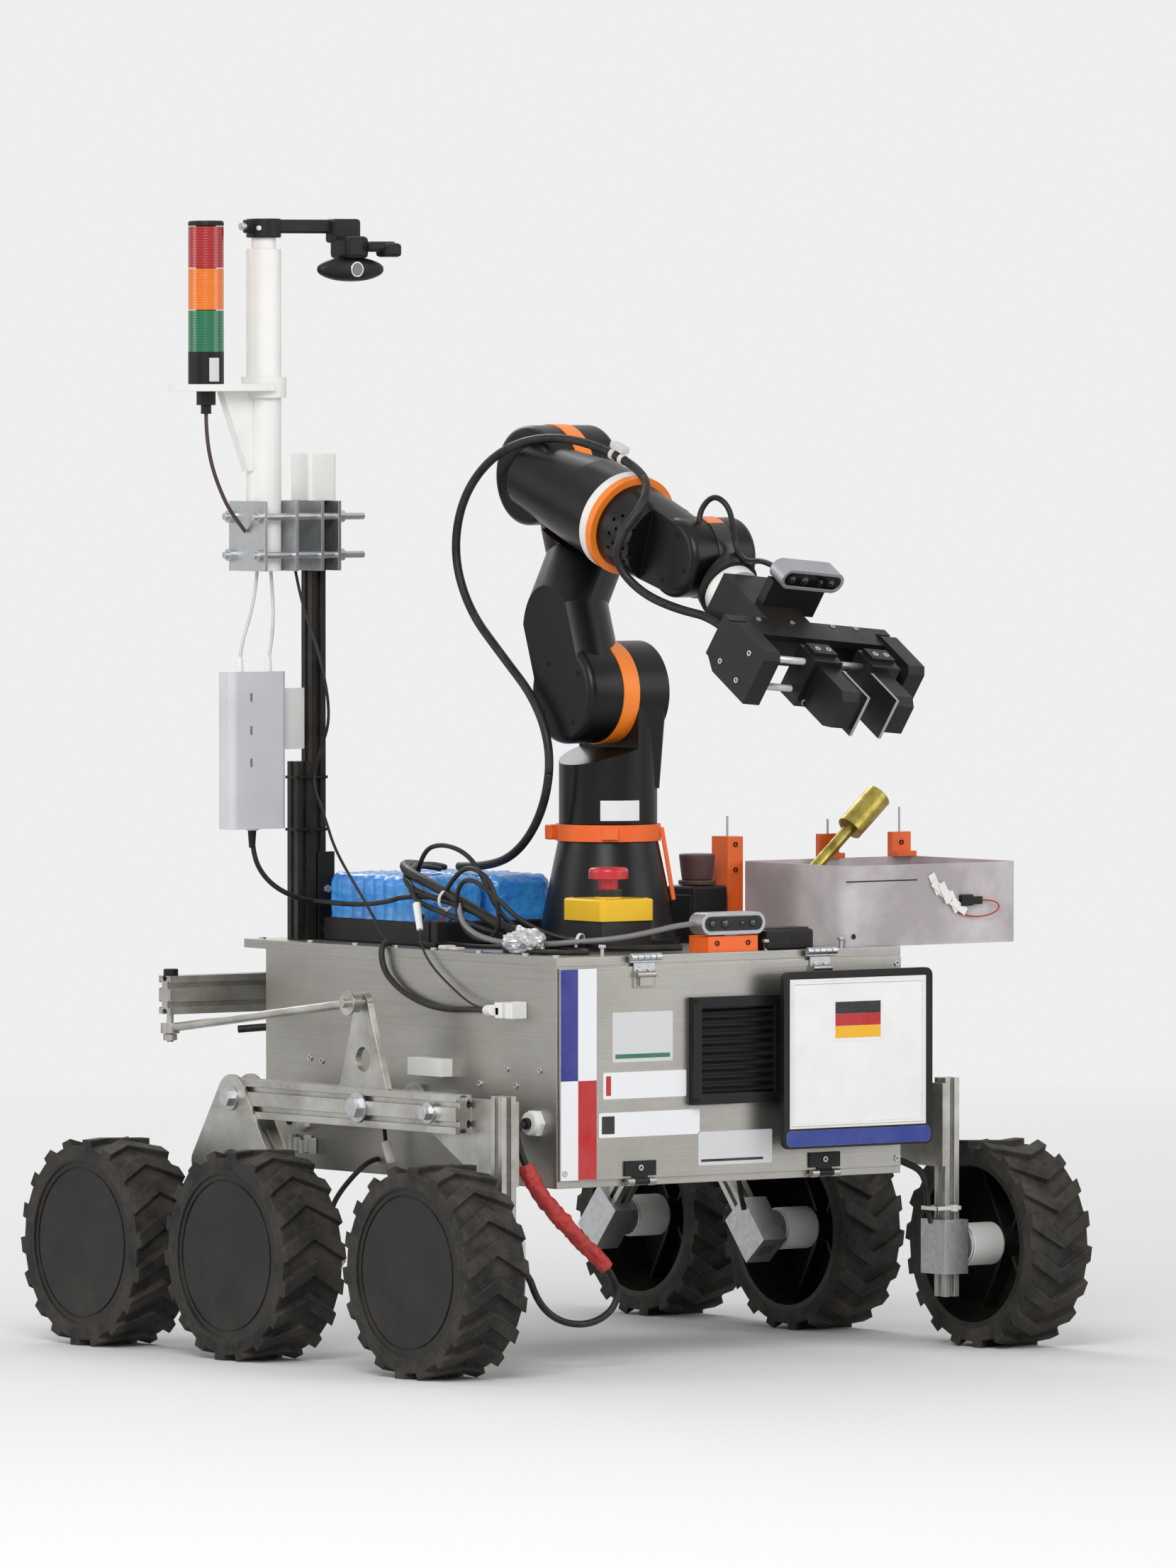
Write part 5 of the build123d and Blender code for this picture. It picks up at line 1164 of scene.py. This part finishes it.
# Loop above the wrist, from the wrist's cover to the hand's camera
wristLoop = {
    "points": ((262, -22, 921), (252, -22, 934), (243, -18, 958), (258, -10, 978), (278, -4, 968),
               (284, 0, 944), (282, 4, 922), (294, 3, 908), (318, -3, 903), (352, -9, 905.8),
               (383, -10, 895)),
    "diameter": 6.5, "steps": 12, "bendStart": (281, 4, 922), "bendEnd": (348, -9, 906)}
addBendingCord("wristLoop", lineOf(wristLoop["points"], wristLoop["steps"]), wristLoop["diameter"],
               ("arm_wrist", "hand"))

# Ties round the deck's bundles: middle and direction of the bundle
tieSpots = [(row(30, -214, 519), (1.0, 0.05, -0.12)), (row(196, -150, 474), (0.85, 0.5, -0.1))]
tieLook = {"Ring Radius": 11.0 * mm, "Band Width": 3.6 * mm, "Band Thickness": 1.2 * mm}
placeOnPoints("deckTies", tieSpots, tieTree, tieLook, "chassis", "white_plastic", whiteLead)


def makeArmStrap():
    # Two bands round the cable that it holds, and a block between them
    form = bmesh.new()
    line = lineOf(armCable["points"], armCable["steps"])
    for x in (111, 126):
        near = nearestOn(line, 1, len(line) - 1, row(x, -37, 1022))
        ahead = (line[near + 1] - line[near - 1]).normalized() * 0.0028
        addDrum(form, line[near] - ahead, line[near] + ahead, 0.0066, 24, 0.0008)
    place = Matrix.Translation(row(119, -36, 1029)) @ forearmAt.to_3x3().to_4x4()
    addBlock(form, (-0.012, -0.006, -0.003), (0.012, 0.006, 0.005), place, 0.0018)
    strap = addPiece("armStrap", meshFrom(form, "armStrap"), "arm_elbow", "white_plastic", whiteLead)
    strap.parent = None
    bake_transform(strap)


makeArmStrap()
print("leads and ties laid")


# Fittings of the deck and the side walls

def makeFoil():
    # Crumpled wrap stuffed beside the leads
    form = bmesh.new()
    bmesh.ops.create_icosphere(form, subdivisions=4, radius=1.0)
    for vertex in form.verts:
        way = vertex.co.normalized()
        fold = 0.86 + 0.34 * noise.noise(way * 2.1) + 0.30 * abs(noise.noise(way * 4.6))
        place = row(170, -208, 477) + Vector((way.x * 0.029, way.y * 0.020, way.z * 0.016)) * fold
        place.z = max(place.z, 0.4634)
        vertex.co = place
    addPiece("foilWrap", meshFrom(form, "foilWrap"), "chassis", "camera_silver", foilFinish)


foilFinish = newFinish("foilFinish", BaseColor=linear(196, 196, 199), Roughness=0.3, Metallic=0.4)[0]
makeFoil()

# Gland behind the beam, the leads' sleeves, the sockets' pin housings and, in a row under the body's
# edge, the tails of the ties
addTrim("sideTrim", "chassis", "white_plastic", [
    *[((x - 17, -266, 393), (x - 3, -244, 411), 1.2) for x in (207, 226)],
    ((200, -261, 398), (212, -244, 406), 1.0),
    *[((x, -252, 222 + 2 * (step % 2)), (x + 6.5, -245, 243 - 3 * (step % 3)), 1.0)
      for step, x in enumerate(range(-224, -174, 10))]], [
    ((-205, -244, 260), (-205, -250, 260), 14.0, 6), ((-205, -250, 260), (-205, -262, 260), 11.5, 24, 2.0),
    ((-4, -231, 514), (15, -240, 485), 4.6, 16, 1.2, 3.8), ((-21, -262, 244), (-10, -262, 222), 5.5, 12, 1.0),
    ((172, -262, 401), (192, -268, 402), 6.4, 12, 1.0)])

# Straps round the mast, as four sides and a lock, and small dark parts of the deck and the walls.
# Each part of a strap: X range, Y range, and its foot and top above the strap's height
mastStrap = (((-274.4, -249.6), (-219.4, -217.8), 0, 3.4), ((-274.4, -249.6), (-178.2, -176.6), 0, 3.4),
             ((-274.4, -272.2), (-219.4, -176.6), 0, 3.4), ((-251.8, -249.6), (-219.4, -176.6), 0, 3.4),
             ((-252.4, -246.6), (-204, -198), -1.2, 4.6))
addTrim("darkTrim", "chassis", "black_plastic", [
    ((-252.2, -190, 463), (-249.6, -167, 564), 0.6), ((-16, -222, 464), (18, -196, 470), 1.5),
    *[((x - 6.5, -216, 468), (x + 6.5, -200, 494), 1.8) for x in (-8, 8)],
    *[((xs[0], ys[0], z + foot), (xs[1], ys[1], z + top), 0.5)
      for z in (588, 648) for xs, ys, foot, top in mastStrap]], [
    ((-21, -262, 244), (-24, -262, 262), 2.4, 10, 0.4), ((241, -256, 277), (241, -262, 277), 6.5, 20, 1.0),
    ((-205, -262, 260), (-205, -266, 260), 5.0, 16, 1.0),
    ((-262, -275, 592), (-262, -275, 570), 5.2, 16, 0.8, 3.6),
    *[((-344, y, 421), (-344, y, 430), 8.5, 20, 1.2) for y in (-331, 331)]])

# Folded tape on the lid's edge, and the tie that holds the lead to the left leg
addTrim("tapeAndTie", "chassis", "white_plastic", [
    ((36, -231, 463), (50, -214, 468.5), 2.0), ((44, -226, 463), (64, -212, 466.5), 1.5),
    ((256.0, 291.5, 160), (257.8, 326.8, 164.5), 0.6), ((284.2, 291.5, 160), (286.0, 326.8, 164.5), 0.6),
    ((256.0, 291.5, 160), (286.0, 293.3, 164.5), 0.6), ((256.0, 325.2, 160), (286.0, 327.0, 164.5), 0.6),
    ((283.5, 312, 158.5), (290.0, 319, 166.0), 0.6)], finish=whiteLead)
addTrim("lidStuds", "chassis", "zinc_steel", drums=[
    *[((266, y, 462.5), (266, y, 474), 2.2, 16) for y in (-171.5, 168, 60)],
    *[((266, y, 471.5), (266, y, 475.5), 4.4, 20, 0.8) for y in (-171.5, 168, 60)],
    *[((-250, -179, z), (-245.5, -179, z), 4.6, 6, 0.5) for z in (475, 521)]])

# Latches: leaves, barrels in five lengths and screws, about the middle of each latch
latchYs = (-125, 125)
addTrim("latchTrim", "door", "zinc_steel", [
    *[((281.6, y - 21, 455), (284.4, y + 21, 460), 0.8) for y in latchYs],
    *[((281.6, y - 15, 438), (283.4, y + 15, 456), 0.6) for y in latchYs]], [
    *[((285.6, y + step * 8.6 - 4.0, 461.5), (285.6, y + step * 8.6 + 4.0, 461.5), 4.2, 24, 0.8)
      for y in latchYs for step in range(-2, 3)],
    *[((283.2, y + aside, 447), (285.4, y + aside, 447), 3.4, 20, 0.8)
      for y in latchYs for aside in (-7, 7)]])

# Radio box: marks on its front, the sockets of its antenna leads and of its cable
addTrim("radioMarks", "chassis", "white_plastic",
        [((-246.8, -288.5, z - 5), (-246.2, -285.5, z + 5), 0.2) for z in (743, 705, 668)], finish=greyLead)
addTrim("radioSockets", "chassis", "white_plastic", drums=[
    *[((-262, y, 771), (-262, y, 789), 4.6, 16, 1.0, 3.2) for y in (-292, -252)],
    ((-262, -275, 596), (-262, -275, 590), 8.0, 20, 1.0)])
makeCurvedLabel("towerLabel", (-262, -339), (20.2, 20.9), (-25, 11, 5), (1104, 1131), "chassis",
                "black_plastic", vinylOf["Silver"])

# Tray: slot, plug of the sensor strip, the folded strip, and the thin rods above the brackets
addTrim("trayMarks", "chassis", "black_plastic", [
    ((269.8, 172, 536.6), (270.3, 275, 538.0)), ((270.2, 335, 506), (276.5, 352, 519), 1.0),
    ((271.0, 352, 507.5), (275.5, 366, 516.5), 0.8)], [((269.5, 183, 475), (270.6, 183, 475), 3.0, 16, 0.3)])


def makeSensorRibbon():
    form = bmesh.new()
    for step in range(6):
        turn = Matrix.Rotation(math.radians(-32 if step % 2 else -62), 4, "X")
        place = Matrix.Translation(row(271.4 + 1.1 * (step % 3), 300 + step * 6.4, 532 - step * 5.2)) @ turn
        addBlock(form, (-0.0006, -0.013, -0.0048), (0.0006, 0.013, 0.0048), place, 0.0003)
    addPiece("sensorRibbon", meshFrom(form, "sensorRibbon"), "chassis", "white_plastic")


makeSensorRibbon()
addTrim("bracketRods", "chassis", "zinc_steel", drums=[
    ((x, y, 582), (x, y, top), 1.3, 10) for x, y, top in ((57, 166, 606), (68, 303, 600), (68, 408, 612))])
screwSet("bracketScrews", [(row(x, y, z), (1, 0, 0)) for x, y, z in (
    (72, 166, 574), (72, 303, 571), (72, 408, 571), (72, 166, 545), (272, -14, 473), (272, 30, 473))],
    "chassis", "black_plastic", 3.0, 1.2, 0.6)

# Boxes on the deck, and the cup on the tall one
addTrim("tallBox", "chassis", "black_plastic", [
    ((35, 95, 463), (85, 145, 528), 3.0), ((38, 93.5, 470), (82, 96, 518), 1.0)], hides=("deck_modules",))
addTrim("lowBox", "chassis", "black_plastic", [
    ((236, 58, 463), (270, 126, 486), 3.0), ((240, 62, 485), (266, 122, 488), 1.2),
    *[((269.2, y, 468), (270.4, y + 5, 481), 0.4) for y in range(66, 120, 9)]], hides=("deck_modules",))
addTrim("sensorCup", "chassis", "black_plastic", drums=[
    ((60, 120, 529), (60, 120, 534), 21.5, 32, 1.0), ((60, 120, 534), (60, 120, 564), 17.5, 32, 2.0, 21.0)],
    finish=vinyl("cupFinish", linear(74, 48, 46), 0.6), hides=("deck_modules",))


def makeStrapBuckle():
    # Buckle and upright of the orange strap at the arm's foot
    form = bmesh.new()
    rowBlock(form, (6, -58, 583), (18, -46, 600), 2.0)
    addBlock(form, (-0.002, -0.008, 0), (0.003, 0.008, 0.084), Matrix.Translation(row(94.5, 59.5, 514))
             @ Matrix.Rotation(math.radians(53), 4, "Z") @ Matrix.Rotation(math.radians(-9.5), 4, "Y"), 0.001)
    addPiece("strapBuckle", meshFrom(form, "strapBuckle"), "chassis", "orange_plastic")


makeStrapBuckle()
addTrim("motorCaps", "chassis", "white_plastic", drums=[
    ((x, side * 344.2, 118.2), (x, side * 391.4, 118.2), 24.5, 40, 3.0)
    for x in (262, -83, -368) for side in (-1, 1)])

# Screw heads: wall and lid, hinges and plate
wallSpots = ((-191, 331.5), (-168, 329), (55.3, 335), (185, 335.6), (247, 336.5), (134, 316.6), (202, 317.3))
spots = [(row(x, side * 244.0, z), (0, side, 0)) for x, z in wallSpots for side in (-1, 1)]
spots += [(row(-278.0, y, z), (-1, 0, 0)) for y in (-220, 220) for z in (230, 330, 430)]
screwSet("wallScrews", spots, "chassis", "zinc_steel", 3.6, 1.8, 0.55)
lidXs = (-300, -205, -118, -40, 32, 118, 205, 262)
spots = [(row(x, side * 233.0, 463.0), (0, 0, 1)) for x in lidXs for side in (-1, 1)]
screwSet("lidScrews", spots, "chassis", "zinc_steel", 4.2, 2.4, 0.55)
spots = [(row(doorFace + 2.5, side * 131, 225), (1, 0, 0)) for side in (-1, 1)]
spots += [(row(doorFace, y, z), (1, 0, 0)) for y, z in ((-236, 222), (236, 222), (236, 444))]
screwSet("doorScrews", spots, "door", "zinc_steel", 3.4, 1.4, 0.5)
spots = [(row(doorFace + 9.0, y, z), (1, 0, 0)) for y in (-56.5, 61.5) for z in (298, 409)]
screwSet("grilleScrews", spots, "door", "black_plastic", 2.8, 1.0, 0.6)
spots = [(row(162.0 + dx, -84.0 + dy, 522.0), (0, 0, 1)) for dx in (-30, 30) for dy in (-30, 30)]
screwSet("estopScrews", spots, "chassis", "yellow_plastic", 2.6, 0.8, 0.6)
print("fittings placed")


# Floor, world and lamps. Away from the object the floor fades into the backdrop's colour.

studio = {"floor": (0.80, 0.80, 0.80, 1), "backdrop": (0.86, 0.86, 0.865, 1), "fillLevel": 0.5,
          "fadeFrom": 1.2, "fadeTo": 5.5, "size": 60.0}


def makeFloor():
    form = bmesh.new()
    bmesh.ops.create_grid(form, x_segments=1, y_segments=1, size=studio["size"])
    mesh = bpy.data.meshes.new("studioFloor")
    form.to_mesh(mesh)
    form.free()
    floor = newObject("studioFloor", mesh)
    material, tree, _ = newFinish("paleFloor", Roughness=0.95, BaseColor=studio["floor"])
    flat = addNode(tree, "ShaderNodeVectorMath", {"Vector": objectPoint(tree)}, operation="LENGTH")
    fade = remap(tree, flat.outputs["Value"], studio["fadeFrom"], studio["fadeTo"])
    seen = tree.nodes.new("ShaderNodeLightPath").outputs
    glow = addNode(tree, "ShaderNodeEmission", {"Color": studio["backdrop"]})
    blend = addNode(tree, "ShaderNodeMixShader", {
        0: maths(tree, "MULTIPLY", fade, seen["Is Camera Ray"]), 1: tree.nodes["Principled BSDF"].outputs[0],
        2: glow.outputs[0]})
    tree.links.new(blend.outputs[0], tree.nodes["Material Output"].inputs[0])
    mesh.materials.append(material)


def makeWorld():
    world = bpy.data.worlds.new("studioWorld")
    world.use_nodes = True
    bpy.context.scene.world = world
    tree = world.node_tree
    seen = tree.nodes.new("ShaderNodeLightPath").outputs
    direct = maths(tree, "MAXIMUM", seen["Is Camera Ray"], seen["Is Transmission Ray"])
    direct = maths(tree, "MAXIMUM", direct, seen["Is Glossy Ray"])
    shader = tree.nodes["Background"].inputs
    wire(tree, mixColours(tree, direct, (1, 1, 1, 1), studio["backdrop"]), shader["Color"])
    wire(tree, remap(tree, direct, 0.0, 1.0, studio["fillLevel"], 1.0), shader["Strength"])


# Lamps: name, place in metres, size, watts. They face a point above the middle of the floor.
lamps = (("keyLamp", (3.6, -3.4, 3.6), 2.4, 165.0), ("fillLamp", (4.6, 2.8, 2.2), 3.2, 60.0),
         ("backLamp", (-4.2, 1.2, 3.8), 2.6, 80.0), ("leftLamp", (-2.4, -5.0, 2.0), 2.6, 45.0))
lampTarget = Vector((0, 0, 0.5))


def makeLamps():
    for name, place, size, watts in lamps:
        data = bpy.data.lights.new(name, "AREA")
        data.size, data.energy = size, watts
        lamp = newObject(name, data)
        lamp.location = place
        lamp.rotation_euler = (Vector(place) - lampTarget).to_track_quat("Z", "Y").to_euler()


makeFloor()
makeWorld()
makeLamps()
bpy.context.scene.view_settings.view_transform = "Standard"
print("studio ready")
